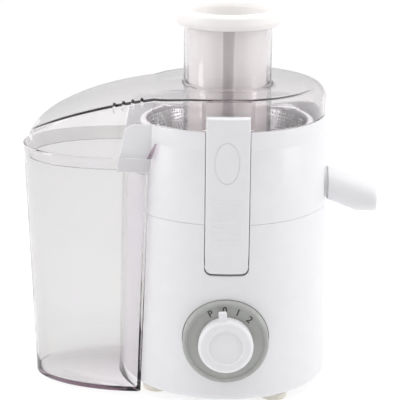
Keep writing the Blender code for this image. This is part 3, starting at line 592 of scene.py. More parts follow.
def spout_ring(x, inset):
    """Ring of the spout at a distance from the axis. Its top falls evenly, and its underside levels out."""
    top = 0.1696 - 0.402 * (x - 0.0782) - inset
    under = max(0.1436 - 0.400 * max(0.0, x - spout_leaves_x), 0.1341) + inset
    half_width = 0.0132 - 0.055 * (x - 0.0736) - inset
    ring = []
    for k in range(SPOUT_SIDES):
        a = 2 * math.pi * k / SPOUT_SIDES
        ring.append((x, half_width * math.cos(a), (top + under) / 2 + (top - under) / 2 * math.sin(a)))
    return ring


combine(collector, "DIFFERENCE", lofted("spout_hole", [spout_ring(x, -0.0009) for x in (0.0690, 0.0800)]))


def on_collector_channel(a, b, fold):
    """True for the upright edges of the clip channels on the outside of the collector."""
    upright = abs(a.z - b.z) > 0.0005 and abs(a.x - b.x) < 0.0001
    return upright and abs(abs(a.x) - channel_half_width) < 0.0001 and abs(a.y) > 0.0720 and fold > 0.6


bevel_edges(collector, mouth_edge, 4, on_collector_channel)
dress(smooth(collector), white_abs, "base", "white_body", "juice_collector")

spout_run = spout_tip_x - 0.0006 - spout_leaves_x
taper = [spout_root_x] + [spout_leaves_x + spout_run * k / 14 for k in range(15)]
rings = [spout_ring(spout_root_x, spout_neck), spout_ring(spout_neck_x, spout_neck)]
rings += [spout_ring(spout_neck_x + 0.0004, 0.0005), spout_ring(spout_neck_x + 0.0010, 0.0)]
rings += [spout_ring(x, 0.0) for x in taper if x > spout_neck_x + 0.0013]
rings += [spout_ring(spout_tip_x - 0.0001, 0.0003), spout_ring(spout_tip_x, 0.0008)]
rings += [spout_ring(spout_tip_x, 0.0014), spout_ring(spout_tip_x - 0.0003, 0.0019)]
rings += [spout_ring(x, spout_wall) for x in reversed(taper)]
spout = lofted("pouring_spout", rings, shut=True)
dress(smooth(spout), white_abs, "base", "white_body", "juice_spout")


# Filter basket. A white hub that drops onto the motor coupling, a cone of perforated stainless sheet, a
# stainless grater disc with rings of raised teeth, and a white rim ring that stiffens the cone's edge.

hub_low, hub_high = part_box("basket_hub")
hub = turned("basket_base", 96, [
    (0, 0.1520),
    (0.0146, 0.1520, 0.0003),
    (0.0146, hub_low.z, 0.0005),
    (0.0184, hub_low.z, 0.0005),
    (0.0184, 0.1545, 0.0008),
    (0.0240, 0.1565, 0.0010),
    (0.0525, 0.1565, 0.0020),
    (0.0552, 0.1600, 0.0015),
    (0.0552, hub_high.z, 0.0004),
    (0.0530, hub_high.z, 0.0004),
    (0.0530, 0.1605, 0.0004),
    (0, 0.1605),
], steps=3)
dress(smooth(hub), white_abs, "rotor", "white_body", "basket_hub")

wall_low, wall_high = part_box("filter_mesh")
basket_bottom_radius = 0.0540
basket_top_radius = (wall_high.x - wall_low.x) / 2
PERFORATIONS_ROUND = 170
PERFORATION_ROWS = 15
draw(
    bpy.ops.mesh.primitive_circle_add,
    vertices=PERFORATIONS_ROUND,
    radius=basket_bottom_radius,
    location=(0, 0, 0),
)
open_mesh("EDGE")
bpy.ops.transform.translate(value=(0, 0, wall_low.z))
row_rise = (wall_high.z - wall_low.z) / PERFORATION_ROWS
row_widening = (basket_top_radius - basket_bottom_radius) / PERFORATION_ROWS
for row in range(PERFORATION_ROWS):
    radius = basket_bottom_radius + row_widening * row
    wider = (radius + row_widening) / radius
    bpy.ops.mesh.extrude_edges_move(TRANSFORM_OT_translate={"value": (0, 0, row_rise)})
    row_z = wall_low.z + row_rise * (row + 1)
    bpy.ops.transform.resize(value=(wider, wider, 1), center_override=(0, 0, row_z))
bpy.ops.mesh.select_mode(type="FACE")
bpy.ops.mesh.select_all(action="SELECT")
bpy.ops.mesh.inset(use_individual=True, thickness=0.00052)
bpy.ops.mesh.delete(type="FACE")
close_mesh()
sieve = named("filter_wall", (axis.x, axis.y, 0))
bpy.ops.object.modifier_add(type="SOLIDIFY")
sieve.modifiers[-1].thickness = 0.0005
sieve.modifiers[-1].offset = -1
bpy.ops.object.modifier_apply(modifier=sieve.modifiers[-1].name)
smooth(sieve)
stainless = finish(
    "stainless_sheet", (0.66, 0.65, 0.66), (0.48, 0.47, 0.48), 0.18, 0.34, 1500, 0.00001, (1, 1, 0.2), 1.0
)
dress(sieve, stainless, "rotor", "stainless_steel", "filter_mesh")

disc_low, disc_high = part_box("grater_disc")
disc_radius = (disc_high.x - disc_low.x) / 2
disc_top = disc_low.z + 0.0009
TEETH_ROUND = 54
tooth_rings = [0.0120 + 0.0042 * k for k in range(9)]
disc_outline = [(0, disc_low.z), (disc_radius, disc_low.z), (disc_radius, disc_top)]
disc_outline += [(r, disc_top) for r in reversed(tooth_rings)] + [(0, disc_top)]
disc = turned("grater_plate", TEETH_ROUND, disc_outline)
open_mesh("FACE", "DESELECT")
plate = bmesh.from_edit_mesh(disc.data)
for face in plate.faces:
    middle = face.calc_center_median() - axis
    reach = math.hypot(middle.x, middle.y)
    ring = round((reach - 0.0141) / 0.0042)
    sector = int((math.atan2(middle.y, middle.x) + math.pi) / (2 * math.pi) * TEETH_ROUND)
    on_top = face.normal.z > 0.9 and 0.0130 < reach < 0.0450
    if on_top and (sector + ring) % 3 == 0:
        face.select_set(True)
bmesh.update_edit_mesh(disc.data)
bpy.ops.mesh.inset(use_individual=True, thickness=0.0004)
bpy.ops.transform.translate(value=(0, 0, disc_high.z - disc_top))
bpy.ops.mesh.merge(type="COLLAPSE")
bpy.ops.object.mode_set(mode="OBJECT")
dress(smooth(disc, 20), stainless, "rotor", "stainless_steel", "grater_disc")

band_low, band_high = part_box("basket_rim")
band_radius = (band_high.x - band_low.x) / 2
band = turned("basket_rim_ring", 128, [
    (0.0618, band_low.z, 0.0004),
    (band_radius - 0.0008, band_low.z, 0.0004),
    (band_radius, band_low.z + 0.0010, 0.0006),
    (band_radius, band_high.z - 0.0008, 0.0008),
    (band_radius - 0.0012, band_high.z, 0.0006),
    (0.0618, band_high.z, 0.0006),
], steps=3)
dress(smooth(band), white_abs, "rotor", "white_body", "basket_rim")


# Lid. One clear moulding: a round cover over the basket, a long tail that roofs the pulp container, and
# the feed tube with its guide rib. The clips hook over a ledge in a recess front and rear, and four small
# grip ribs cross its shoulder at the front of the tail.

lid_low, lid_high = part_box("lid")
lid_wall = 0.0022
lid_bottom_z = rim_z + 0.0003
lid_top_z = 0.2350
skirt_bottom_z = 0.1775
tail_half_width = 0.0505
tail_end_x = lid_low.x - axis.x
tail_drop = 0.0410
tube_radius = 0.03335
tube_bore = 0.0313
tube_bottom_z = lid_low.z
tube_top_z = lid_high.z
drum_round = 0.0090
tail_round = 0.0032
soft = 0.0005
ARC_STEPS = 132
TAIL_STEPS = 42


def lid_top(x):
    """Height of the lid's top: level over the drum, falling in a convex curve along the tail."""
    share = min(1.0, max(0.0, x / tail_end_x))
    return lid_top_z - tail_drop * (1 - (1 - share * share) ** 0.66)


def lid_stations():
    """Stations round the lid's plan: an arc over the drum, then the tail and back."""
    stations = [("arc", -1 + 2 * k / ARC_STEPS) for k in range(ARC_STEPS + 1)]
    for k in range(1, 2 * TAIL_STEPS):
        share = k / TAIL_STEPS
        stations.append(("tail", share**1.5 if share <= 1 else 2 - (2 - share) ** 1.5))
    return stations


def lid_plan(station, inset):
    """Place of a station in plan, moved in from the outer wall by the given amount."""
    kind, share = station
    radius, half_width = rim_radius - inset, tail_half_width - inset
    join_x = -math.sqrt(radius**2 - half_width**2)
    if kind == "arc":
        a = share * math.atan2(half_width, join_x)
        return radius * math.cos(a), radius * math.sin(a)
    side, a = (1, share * math.pi / 2) if share <= 1 else (-1, (2 - share) * math.pi / 2)
    length = join_x - (tail_end_x + inset)
    return join_x - length * math.sin(a) ** (2 / 3), side * half_width * math.cos(a)


def shoulder_radius(station):
    """Rounding between wall and top: full over the drum, tight along the tail."""
    kind, share = station
    if kind == "tail":
        return tail_round
    blend = min(1.0, max(0.0, (1 - abs(share)) / 0.22))
    return tail_round + (drum_round - tail_round) * blend * blend * (3 - 2 * blend)


stations = lid_stations()


def wall_ring(inset, low, lip):
    """Ring at the foot of the wall, which is deeper along the tail where it forms the skirt."""
    ring = []
    for station in stations:
        x, y = lid_plan(station, inset)
        ring.append((x, y, (skirt_bottom_z if station[0] == "tail" else low) + lip))
    return ring


def shoulder_ring(turn, inset):
    """Ring on the rounding between wall and top, on the outer face or inset by the wall."""
    ring = []
    for station in stations:
        r = shoulder_radius(station)
        x, y = lid_plan(station, inset + (r - inset) * (1 - math.cos(turn)))
        ring.append((x, y, lid_top(x) - r + (r - inset) * math.sin(turn)))
    return ring


def top_ring(share, drop):
    """Ring on the top, part of the way from the shoulder to the feed tube."""
    ring = []
    for station in stations:
        x, y = lid_plan(station, shoulder_radius(station))
        scale = 1 + share * (tube_radius / math.hypot(x, y) - 1)
        ring.append((x * scale, y * scale, lid_top(x * scale) - drop))
    return ring


def tube_ring(radius, z):
    """Round ring of the feed tube at a height."""
    ring = []
    for station in stations:
        x, y = lid_plan(station, drum_round)
        scale = radius / math.hypot(x, y)
        ring.append((x * scale, y * scale, z))
    return ring


def prism(name, side, half_width, outline):
    """Prism across the front or rear of the drum, with an outline of (distance from the axis, height)."""
    return lofted(name, [[(x, side * y, z) for y, z in outline] for x in (-half_width, half_width)])


turns = [math.radians(7.5 * k) for k in range(13)]
shares = [0.12 * k for k in range(1, 8)]
fillet = 0.0022
rings = [wall_ring(0.0004, lid_bottom_z, 0.0), wall_ring(0.0, lid_bottom_z, 0.0004)]
rings += [shoulder_ring(a, 0.0) for a in turns]
rings += [top_ring(share, 0.0) for share in shares]
for k in range(6):
    a = math.radians(18 * k)
    rings.append(tube_ring(tube_radius + fillet * (1 - math.sin(a)), lid_top_z + fillet * (1 - math.cos(a))))
for radius, z in (
    (tube_radius, tube_top_z - soft),
    (tube_radius - soft, tube_top_z),
    (tube_bore + soft, tube_top_z),
    (tube_bore, tube_top_z - soft),
    (tube_bore, tube_bottom_z + soft),
    (tube_bore + soft, tube_bottom_z),
    (tube_radius - soft, tube_bottom_z),
    (tube_radius, tube_bottom_z + soft),
    (tube_radius, lid_top_z - lid_wall - 0.0012),
    (tube_radius + 0.0008, lid_top_z - lid_wall - 0.0002),
):
    rings.append(tube_ring(radius, z))
rings += [top_ring(share, lid_wall) for share in reversed(shares)]
rings += [shoulder_ring(a, lid_wall) for a in reversed(turns)]
rings += [wall_ring(lid_wall, lid_bottom_z, 0.0004), wall_ring(lid_wall - 0.0004, lid_bottom_z, 0.0)]
lid = lofted("clear_lid", rings, shut=True)

clearance = lofted("panel_clearance", [[(x, y, z) for x, z in wing_outline(0.0004)] for y in (-0.062, 0.062)])
combine(lid, "DIFFERENCE", clearance)
combine(lid, "UNION", block("guide_rib", (-0.0032, -0.0320, 0.1720), (0.0032, -0.0280, 0.2780)))
ledge_z = 0.2190
ledge_back = 0.0676
ledge_slope = 0.45
pad_outline = [(0.0722, lid_bottom_z), (0.0722, 0.2260), (0.0700, 0.2305)]
pad_outline += [(0.0678, 0.2328), (0.0651, 0.2334), (0.0651, lid_bottom_z)]
recess_outline = [(clear_of_drum, 0.2050), (channel_back, 0.2050), (channel_back, ledge_z)]
recess_outline += [(ledge_back, ledge_z + ledge_slope * (channel_back - ledge_back))]
recess_outline += [(ledge_back, 0.2400), (clear_of_drum, 0.2400)]
for side in (-1, 1):
    pad = prism("ledge_pad", side, 0.0190, pad_outline)
    bevel_edges(pad, 0.0006, 2, lambda a, b, fold: max(abs(a.x), abs(b.x)) > 0.0189)
    recess = prism("clip_recess", side, channel_half_width, recess_outline)
    combine(lid, "UNION", pad)
    combine(lid, "DIFFERENCE", recess)
for k in range(4):
    x = -0.0834 + 0.0067 * k
    draw(
        bpy.ops.mesh.primitive_uv_sphere_add,
        segments=20,
        ring_count=12,
        radius=1,
        location=(0, 0, 0),
        scale=(0.0015, 0.0054, 0.0026),
    )
    grip = named("grip_rib", turn=(math.radians(40), 0, 0))
    grip_place = (axis.x + x, axis.y - tail_half_width + 0.0016, lid_top(x) - 0.0016)
    moved(grip, grip_place)
    combine(lid, "UNION", grip)
smooth(lid, 40)


def multiplied(made, colour, by, share):
    """Colour darkened by another, by the given share."""
    mix = add_node(made, "Mix")
    mix.data_type = "RGBA"
    mix.blend_type = "MULTIPLY"
    return feed(made, mix, Factor=share, A=colour, B=by).outputs["Result"]


def clear_plastic(name, front_tint, rear_painted_shade, edge_colour, edge_density):
    """Polished clear plastic: nearly colourless in front, with painted shade that darkens it towards the
    rear, and tinted where it is seen along an edge. It has a glossy skin and the slight waviness that a
    moulding keeps."""
    made, shader = new_material(name)
    where = add_node(made, "TexCoord").outputs["Object"]
    cloud = add_node(made, "TexNoise", Vector=where, Scale=26)
    behind = add_node(made, "SeparateXYZ", Vector=where).outputs["Y"]
    depth = add_node(made, "MapRange", Value=behind, From_Min=-0.025, From_Max=0.020).outputs["Result"]
    # Painted shade: the colour darkens from the front to the rear colour, standing in for the shade seen
    # through the clear walls.
    colour_and_painted_shade = ramp(made, depth, (0.0, front_tint), (1.0, rear_painted_shade))
    polish = add_node(made, "MapRange", Value=cloud.outputs["Fac"], To_Min=0.01, To_Max=0.05)
    wave = add_node(made, "TexNoise", Vector=where, Scale=55, Detail=1).outputs["Fac"]
    bump = add_node(made, "Bump", Strength=0.35, Distance=0.0002, Height=wave).outputs["Normal"]
    feed(
        made,
        shader,
        Base_Color=multiplied(made, colour_and_painted_shade, cloud.outputs["Color"], 0.02),
        Roughness=polish.outputs["Result"],
        Normal=bump,
        Transmission_Weight=1.0,
        IOR=1.23,
        Coat_Weight=0.6,
        Coat_Roughness=0.03,
        Coat_IOR=1.5,
        Coat_Normal=bump,
    )
    absorbed = add_node(made, "VolumeAbsorption", Color=(*edge_colour, 1), Density=edge_density)
    passing = add_node(made, "BsdfTransparent", Color=(0.995, 0.99, 0.995, 1))
    either = add_node(made, "MixShader", Fac=add_node(made, "LightPath").outputs["Is Shadow Ray"])
    made.node_tree.links.new(shader.outputs["BSDF"], either.inputs[1])
    made.node_tree.links.new(passing.outputs["BSDF"], either.inputs[2])
    feed(
        made,
        made.node_tree.nodes["Material Output"],
        Surface=either.outputs["Shader"],
        Volume=absorbed.outputs["Volume"],
    )
    return made


# The lid's darker rear colour is painted shade.
clear_lid = clear_plastic("clear_san", (0.995, 0.99, 0.99), (0.87, 0.867, 0.87), (0.70, 0.58, 0.64), 28)
dress(lid, clear_lid, "lid", "clear_plastic", "lid")


# Pusher. A hollow warm-white plunger that slides down the feed tube, with a wide rolled rim that rests on
# the tube's top and a keyway down its front that runs on the lid's guide rib.

pusher_low, pusher_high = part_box("pusher")
pusher_radius = 0.0297
pusher_wall = 0.0022
pusher_rim = (pusher_high.x - pusher_low.x) / 2
collar_z = tube_top_z + 0.0004
keyway_half_width = 0.0040
keyway_floor = pusher_radius - 0.0027
pusher = turned("food_pusher", 160, [
    (0, pusher_low.z),
    (pusher_radius, pusher_low.z, 0.0020),
    (pusher_radius, collar_z, 0.0003),
    (pusher_rim - 0.0016, collar_z, 0.0015),
    (pusher_rim, collar_z + 0.0040, 0.0030),
    (pusher_rim, pusher_high.z, 0.0036),
    (0.0322, pusher_high.z, 0.0012),
    (0.0300, pusher_high.z - 0.0034, 0.0020),
    (pusher_radius - pusher_wall, collar_z + 0.0010, 0.0020),
    (pusher_radius - pusher_wall, pusher_low.z + pusher_wall, 0.0020),
    (0, pusher_low.z + pusher_wall),
])
backing = block(
    "keyway_backing",
    (-keyway_half_width - 0.0020, -pusher_radius + 0.0012, pusher_low.z + 0.0010),
    (keyway_half_width + 0.0020, -keyway_floor + pusher_wall, collar_z + 0.0008),
)
groove = slab(
    "keyway", -1, keyway_half_width, keyway_floor, 0.0340, pusher_low.z - 0.0020, collar_z - 0.0002
)
combine(pusher, "UNION", backing)
combine(pusher, "DIFFERENCE", groove)


def on_keyway(a, b, fold):
    """True for the two upright edges of the keyway."""
    return abs(a.z - b.z) > 0.005 and abs(abs(a.x) - keyway_half_width) < 0.0001 and a.y < -0.0285


bevel_edges(pusher, 0.0004, 3, on_keyway)
smooth(pusher)
cream = finish("cream_pp", (0.93, 0.905, 0.89), (0.915, 0.89, 0.875), 0.34, 0.46, 2400, 0.00003)
dress(pusher, cream, "pusher", "cream_plastic", "pusher")


# Pulp container. A tall clear bin that stands beside the drum: a hollow side that fits round the drum, a
# belly that fills out towards the rim, and a slightly thicker band at the rim. Two small clear ears,
# pieces of their own, stand on its corners by the drum.

bin_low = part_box("pulp_container")[0]
bin_rim_z = 0.1875
bin_floor_z = 0.0040
bin_wall = 0.0017
bin_end_bottom = -0.1490
bin_end_rim = bin_low.x - axis.x
BIN_STEPS = 40
HOLLOW_STEPS = 36


def bin_ring(z, inset):
    """Plan of the container at a height: two quarter curves out to its end and a hollow arc by the drum."""
    share = z / bin_rim_z
    corner_x = -0.0640 + share * (-0.0565 + 0.0640)
    half_width = 0.0500 + share * (0.0545 - 0.0500) - inset
    end_x = bin_end_bottom + share * (bin_end_rim - bin_end_bottom) + inset
    power = 1.85 + share * (2.75 - 1.85)
    radius = math.hypot(corner_x, half_width + inset) + inset
    corner_x = -math.sqrt(radius**2 - half_width**2)
    ring = []
    for k in range(2 * BIN_STEPS + 1):
        even = min(k, 2 * BIN_STEPS - k) / BIN_STEPS
        a = math.pi / 2 * even**1.3
        side = 1 if k <= BIN_STEPS else -1
        x = corner_x + (end_x - corner_x) * math.sin(a) ** (2 / power)
        ring.append((x, side * half_width * math.cos(a), z))
    corner_turn = math.atan2(half_width, -corner_x)
    for k in range(1, HOLLOW_STEPS):
        a = math.pi + corner_turn - 2 * corner_turn * k / HOLLOW_STEPS
        ring.append((radius * math.cos(a), radius * math.sin(a), z))
    return ring


band_z = 0.1818
rings = [bin_ring(bin_low.z, 0.0016), bin_ring(bin_low.z + 0.0005, 0.0006)]
rings += [bin_ring(bin_low.z + 0.0016, 0.0002)]
rings += [bin_ring(0.0028 + (band_z - 0.0028) * k / 16, 0.0003) for k in range(17)]
rings += [bin_ring(band_z + 0.0005, 0.0), bin_ring(bin_rim_z - 0.0005, 0.0), bin_ring(bin_rim_z, 0.0005)]
rings += [bin_ring(bin_rim_z, bin_wall - 0.0005), bin_ring(bin_rim_z - 0.0005, bin_wall)]
rings += [bin_ring(0.0060 + (band_z - 0.0060) * k / 16, bin_wall) for k in reversed(range(17))]
rings += [bin_ring(bin_floor_z + 0.0006, bin_wall + 0.0004), bin_ring(bin_floor_z, bin_wall + 0.0018)]
container = lofted("pulp_bin", rings)
mouth = block("chute_mouth", (-0.0812, -0.0514, 0.1745), (-0.0500, 0.0514, 0.2100))
combine(container, "DIFFERENCE", mouth)
smooth(container, 40)
# The bin's darker rear colour is painted shade.
clear_bin = clear_plastic(
    "clear_san_painted_rear_shade", (0.985, 0.983, 0.985), (0.75, 0.752, 0.748), (0.66, 0.54, 0.61), 40
)
dress(container, clear_bin, "container", "clear_plastic", "pulp_container")

# The ears' darker pink colours and very dense absorption are painted shade, standing in for the dark look of
# a clear plastic edge.
ear_plastic = clear_plastic("clear_ear_san", (0.90, 0.85, 0.88), (0.80, 0.77, 0.79), (0.50, 0.34, 0.43), 560)
ear_foot = [(-0.0596, 0.0524), (-0.0560, 0.0524), (-0.0560, 0.0545), (-0.0596, 0.0545)]
ear_tip = [(-0.0538, 0.0560), (-0.0520, 0.0560), (-0.0520, 0.0574), (-0.0538, 0.0574)]
for name, side in (("front_ear", -1), ("rear_ear", 1)):
    foot_ring = [(x, side * y, bin_rim_z) for x, y in ear_foot]
    tip_ring = [(x, side * y, 0.1990) for x, y in ear_tip]
    ear = lofted(name, [foot_ring, tip_ring])
    dress(ear, ear_plastic, "container", "clear_plastic")


# Clips. Two white straps hinged low on the drum, one at the front and one at the rear. Each hooks over the
# lid and has an oval thumb pad, a ladder of grip ribs below it, and a shallow dip above its foot.

clip_half_width = 0.0160
clip_face = 0.0780
clip_back = 0.0740
clip_corner = 0.0048
hook_tip = 0.0689
RIB_HEIGHTS = [0.1305 + 0.0051 * k for k in range(7)]


def shell(name, inner, outer, low, high):
    """Upright ring between two radii and two heights."""
    return turned(name, 256, [(inner, low), (outer, low), (outer, high), (inner, high)])


for name, side in (("front_clip", -1), ("rear_clip", 1)):
    clip_low, clip_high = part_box(name)
    lip = [(clip_face, clip_low.z), (clip_face, clip_low.z + 0.0008)]
    for k in range(1, 13):
        down = k / 4 if k < 4 else 1 - (k - 4) / 8
        lip.append((clip_face - 0.0011 * math.sin(math.pi / 2 * down) ** 2, clip_low.z + 0.0008 + 0.0015 * k))
    crown = rounded(
        [(clip_face, 0.2000), (clip_face, clip_high.z, 0.0030), (clip_back, clip_high.z)], False, 8
    )
    strap_outline = [(clip_back, clip_low.z), *lip, *crown[1:]]
    strap = turned(f"{name}_strap", 256, strap_outline)
    window = slab("strap_window", side, clip_half_width, 0.0600, clear_of_drum, clip_low.z, clip_high.z)
    bevel_edges(
        window,
        clip_corner,
        8,
        lambda a, b, fold: abs(a.y - b.y) > 0.01 and max(a.z, b.z) < clip_low.z + 0.0001,
    )
    combine(strap, "INTERSECT", window)
    bevel_edges(strap, 0.0009, 4, lambda a, b, fold: fold > 0.9 and min(abs(a.y), abs(b.y)) > 0.0750)
    hook_outline = [
        (reach, ledge_z + 0.0005 + ledge_slope * (channel_back - reach)) for reach in (0.0750, hook_tip)
    ]
    hook_outline += [(hook_tip, 0.2218), (0.0693, 0.2226), (0.0702, 0.2232), (0.0750, 0.2232)]
    hook = prism("hook", side, 0.0156, hook_outline)
    barrel = hinge_bar("barrel", side, 0.0028, 0.0152)
    bore = hinge_bar("pin_bore", side, pin_hole_radius, 0.0200, 24)
    combine(strap, "UNION", hook, barrel)
    combine(strap, "DIFFERENCE", bore)
    pad_z, pad_half_height, pad_half_width = 0.1902, 0.0156, 0.0093
    ovals = []
    for grow in (0.0, 0.0006):
        draw(
            bpy.ops.mesh.primitive_cylinder_add,
            vertices=72,
            radius=1,
            depth=0.02,
            location=(-0.0005, side * 0.0780, pad_z),
            rotation=(math.pi / 2, 0, 0),
            scale=(pad_half_width - grow, pad_half_height - grow, 1),
        )
        ovals.append(named("oval", (axis.x, axis.y, 0), (math.pi / 2, 0, 0)))
    groove = shell("pad_groove", clip_face - 0.00035, clip_face + 0.0010, 0.1700, 0.2100)
    combine(groove, "INTERSECT", ovals[0])
    combine(groove, "DIFFERENCE", ovals[1])
    combine(strap, "DIFFERENCE", groove)
    for rib_z in RIB_HEIGHTS:
        ridge = [
            (clip_face - 0.0007, rib_z - 0.0013),
            (clip_face + 0.00012, rib_z - 0.0013),
            (clip_face + 0.00035, rib_z - 0.0005),
            (clip_face + 0.00035, rib_z + 0.0005),
            (clip_face + 0.00012, rib_z + 0.0013),
            (clip_face - 0.0007, rib_z + 0.0013),
        ]
        rib = turned("grip_bar", 200, ridge)
        window = slab("rib_window", side, 0.0107, 0.0600, clear_of_drum, rib_z - 0.002, rib_z + 0.002)
        combine(rib, "INTERSECT", window)
        combine(strap, "UNION", rib)
    dress(smooth(strap), white_abs, name, "white_body", name)


# Dial. A grey-green ring let into the front of the housing, with a raised chamfered edge and four printed
# settings: pulse, off and two speeds. Its marks are plain dark pads of ink, a tenth of a millimetre thick.

dial_front = axis.y - dial_low.y
dial_face = dial_front - 0.0010
dial = turned("dial_bezel", 160, [
    (dial_radius, 0.0665),
    (dial_radius, dial_front - 0.0014, 0.0006),
    (dial_radius - 0.0016, dial_front, 0.0005),
    (dial_radius - 0.0034, dial_front, 0.0004),
    (dial_radius - 0.0042, dial_face, 0.0004),
    (0.0042, dial_face, 0.0003),
    (0.0042, dial_front - 0.0032),
    (dial_radius - 0.0023, dial_front - 0.0032),
    (dial_radius - 0.0023, 0.0665),
], (axis.x, axis.y, dial_z), (math.pi / 2, 0, 0), steps=4)
smooth(dial)
dial_grey = finish("dial_grey", (0.41, 0.418, 0.40), (0.39, 0.397, 0.38), 0.3, 0.42, 2600, 0.00003)
dress(dial, dial_grey, "base", "dial_grey", "dial_ring")

mark_ink = finish("mark_ink", (0.060, 0.058, 0.055), (0.045, 0.043, 0.042), 0.4, 0.55, 4000, 0.00001)
mark_ring = 0.0250
mark_height = 0.0074
for name, letter, degrees in (
    ("dial_mark_pulse", "P", -27.0),
    ("dial_mark_off", "0", -2.0),
    ("dial_mark_low", "1", 20.5),
    ("dial_mark_high", "2", 44.0),
):
    a = math.radians(degrees)
    draw(bpy.ops.object.text_add, location=(0, 0, 0))
    mark = bpy.context.object
    mark.data.body = letter
    mark.data.align_x = "CENTER"
    mark.data.align_y = "CENTER"
    mark.data.size = mark_height
    mark.data.extrude = 0.00005
    mark.data.offset = 0.00012
    mark.data.resolution_u = 6
    bpy.ops.object.convert(target="MESH")
    mark = named(name, turn=(math.pi / 2, 0, 0))
    open_mesh("EDGE")
    bpy.ops.mesh.remove_doubles(threshold=1e-6)
    close_mesh()
    place = Vector((math.sin(a) * mark_ring, -dial_face - 0.00004, dial_z + math.cos(a) * mark_ring))
    moved(mark, (a, "Y"), place + axis.xy.to_3d())
    dress(mark, mark_ink, "base", "dial_grey")


# Speed knob. A white moulded disc on the switch spindle, with a sloping edge, a ring groove round a flat
# centre, and a pointer tab that reaches out over the marks.

knob_low, knob_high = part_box("speed_knob")
knob_radius = 0.0205
knob_front = axis.y - knob_low.y
knob_back = axis.y - knob_high.y
pointer_turn = math.radians(6)
knob = turned("knob_cap", 144, [
    (0, 0.0913),
    (0.0033, 0.0913, 0.0002),
    (0.0033, knob_back, 0.0002),
    (knob_radius - 0.0003, knob_back, 0.0003),
    (knob_radius, 0.0905, 0.0006),
    (knob_radius - 0.0022, 0.0924, 0.0014),
    (0.0138, knob_front, 0.0007),
    (0.0129, 0.0922, 0.0005),
    (0.0120, 0.0922, 0.0004),
    (0, 0.0924),
], (axis.x, axis.y, dial_z), (math.pi / 2, 0, 0))
draw(bpy.ops.mesh.primitive_cube_add, size=1, location=(0, 0, 0), scale=(0.0060, 0.0044, 0.0118))
pointer = named("pointer")
open_mesh("EDGE")
bpy.ops.mesh.bevel(offset=0.0009, segments=4, clamp_overlap=False)
bpy.ops.object.mode_set(mode="OBJECT")
moved(pointer, (0, -0.0888, 0.0209), (-pointer_turn, "Y"), (axis.x, axis.y, dial_z))
combine(knob, "UNION", pointer)
dress(smooth(knob), white_abs, "knob", "white_body", "speed_knob")


# Motor and switchgear inside the housing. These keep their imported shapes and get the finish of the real
# stock: rolled and stamped steel, stacked laminations, lacquered wire, moulded phenolic and soft rubber.

def banded(name, light, dark, pitch, roughness, metallic, direction="Z"):
    """Finish with fine bands across one direction, as on stacked sheets or on wire laid side by side."""
    made = finish(name, light, dark, roughness - 0.06, roughness + 0.1, 1500, 0.00002, metallic=metallic)
    shader = made.node_tree.nodes["Principled BSDF"]
    where = add_node(made, "TexCoord").outputs["Object"]
    bands = add_node(made, "TexWave", Vector=where, Scale=math.pi / (10 * pitch), Distortion=0.4)
    bands.bands_direction = direction
    plain = shader.inputs["Base Color"].links[0].from_socket
    relief = shader.inputs["Normal"].links[0].from_socket
    ridges = add_node(made, "Bump", Distance=0.0001, Height=bands.outputs["Fac"], Normal=relief)
    banding = multiplied(made, plain, bands.outputs["Color"], 0.45)
    feed(made, shader, Base_Color=banding, Normal=ridges.outputs["Normal"])
    return made


laminations = banded("laminations", (0.34, 0.34, 0.35), (0.25, 0.25, 0.26), 0.0005, 0.45, 1.0)
lacquered_wire = banded("lacquered_wire", (0.66, 0.27, 0.12), (0.50, 0.18, 0.08), 0.0006, 0.3, 0.9)
copper_bars = banded("copper_bars", (0.80, 0.42, 0.27), (0.62, 0.30, 0.18), 0.0012, 0.28, 1.0, "X")
ground_steel = finish(
    "ground_steel", (0.70, 0.70, 0.71), (0.58, 0.58, 0.60), 0.16, 0.3, 2200, 0.00001, (1, 1, 0.1), 1.0
)
phenolic = finish("black_phenolic", (0.040, 0.038, 0.036), (0.026, 0.025, 0.025), 0.42, 0.6, 2600, 0.00004)
carbon = finish("brush_carbon", (0.075, 0.075, 0.078), (0.045, 0.045, 0.048), 0.5, 0.7, 4200, 0.00005)
film = finish("film_yellow", (0.80, 0.62, 0.12), (0.72, 0.54, 0.09), 0.26, 0.42, 1500, 0.00002)
black_rubber = finish("black_rubber", (0.050, 0.050, 0.052), (0.032, 0.032, 0.034), 0.65, 0.85, 3000, 0.00005)
inner_finishes = (
    (laminations, ("stator_core", "armature_core")),
    (lacquered_wire, ("field_coil_left", "field_coil_right")),
    (lacquered_wire, ("armature_winding_upper", "armature_winding_lower")),
    (copper_bars, ("commutator",)),
    (zinc_plate, ("upper_bearing_bracket", "lower_bearing_bracket", "front_clip_pin", "rear_clip_pin")),
    (zinc_plate, ("motor_screw_1", "motor_screw_2", "motor_screw_3", "motor_screw_4")),
    (ground_steel, ("motor_shaft", "switch_spindle", "upper_bearing", "lower_bearing")),
    (phenolic, ("rotary_switch", "interlock_switch", "interlock_plunger", "cooling_fan", "drive_coupling")),
    (phenolic, ("brush_holder_left", "brush_holder_right")),
    (carbon, ("carbon_brush_left", "carbon_brush_right")),
    (film, ("suppression_capacitor",)),
    (black_rubber, ("shaft_seal", "motor_mount_1", "motor_mount_2", "motor_mount_3", "motor_mount_4")),
)
for stock, names in inner_finishes:
    for name in names:
        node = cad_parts[name]
        node.data.materials.clear()
        node.data.materials.append(stock)


# Studio. A pale, faintly glowing floor under a sky that is bright behind the object and dim in front, a
# large soft light on each side and one overhead, and the camera a little above, looking down at its front.

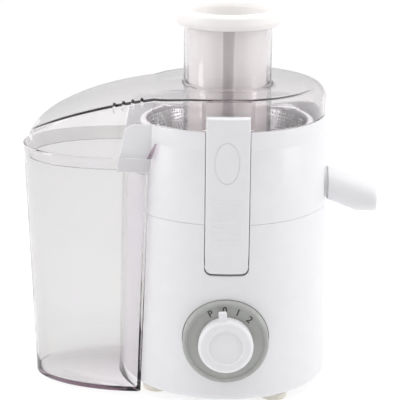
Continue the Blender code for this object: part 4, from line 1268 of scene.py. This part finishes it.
draw(bpy.ops.mesh.primitive_plane_add, size=12, location=(0, 0, cad_low.z))
floor = bpy.context.object
floor.name = "studio_floor"
pale, pale_shader = new_material("pale_floor")
feed(
    pale,
    pale_shader,
    Base_Color=(0.40, 0.40, 0.40, 1),
    Roughness=0.9,
    Emission_Color=(1, 1, 1, 1),
    Emission_Strength=0.64,
)
floor.data.materials.append(pale)

world = bpy.data.worlds.new("soft_sky")
bpy.context.scene.world = world
world.use_nodes = True
toward = add_node(world, "TexCoord").outputs["Generated"]
behind = add_node(world, "SeparateXYZ", Vector=toward).outputs["Y"]
depth = add_node(world, "MapRange", Value=behind, From_Min=-1.0, From_Max=1.0).outputs["Result"]
sky = ramp(
    world,
    depth,
    (0.0, (0.20, 0.20, 0.21)),
    (0.22, (0.42, 0.42, 0.42)),
    (0.45, (1.0, 1.0, 1.0)),
    (0.8, (0.95, 0.95, 0.95)),
    (1.0, (0.72, 0.72, 0.72)),
)
feed(world, world.node_tree.nodes["Background"], Color=sky, Strength=1.0)


def soft_light(name, place, width, height, power):
    """Rectangular area light that faces the middle of the object."""
    lamp = bpy.data.lights.new(name, "AREA")
    lamp.shape = "RECTANGLE"
    lamp.size = width
    lamp.size_y = height
    lamp.energy = power
    stand = bpy.data.objects.new(name, lamp)
    bpy.context.collection.objects.link(stand)
    stand.location = place
    target = Vector((0, 0, cad_high.z / 2))
    stand.rotation_euler = (target - Vector(place)).to_track_quat("-Z", "Y").to_euler()


soft_light("left_softbox", (-1.2, -0.35, 0.60), 0.32, 1.1, 4.2)
soft_light("right_softbox", (1.2, -0.30, 0.65), 0.36, 1.1, 4)
soft_light("overhead_softbox", (0.1, -0.12, 1.4), 1.2, 1.0, 7)

lens = bpy.data.cameras.new("camera")
lens.sensor_width = 36
lens.lens = 144.98
camera = bpy.data.objects.new("camera", lens)
bpy.context.collection.objects.link(camera)
camera.location = (0.0001, -1.1989, 0.4821)
camera.rotation_mode = "QUATERNION"
pitch = Quaternion((1, 0, 0), math.radians(90 - 15.828))
camera.rotation_quaternion = pitch @ Quaternion((0, 0, 1), math.radians(0.547))
bpy.context.scene.camera = camera
bpy.context.scene.view_settings.view_transform = "Standard"
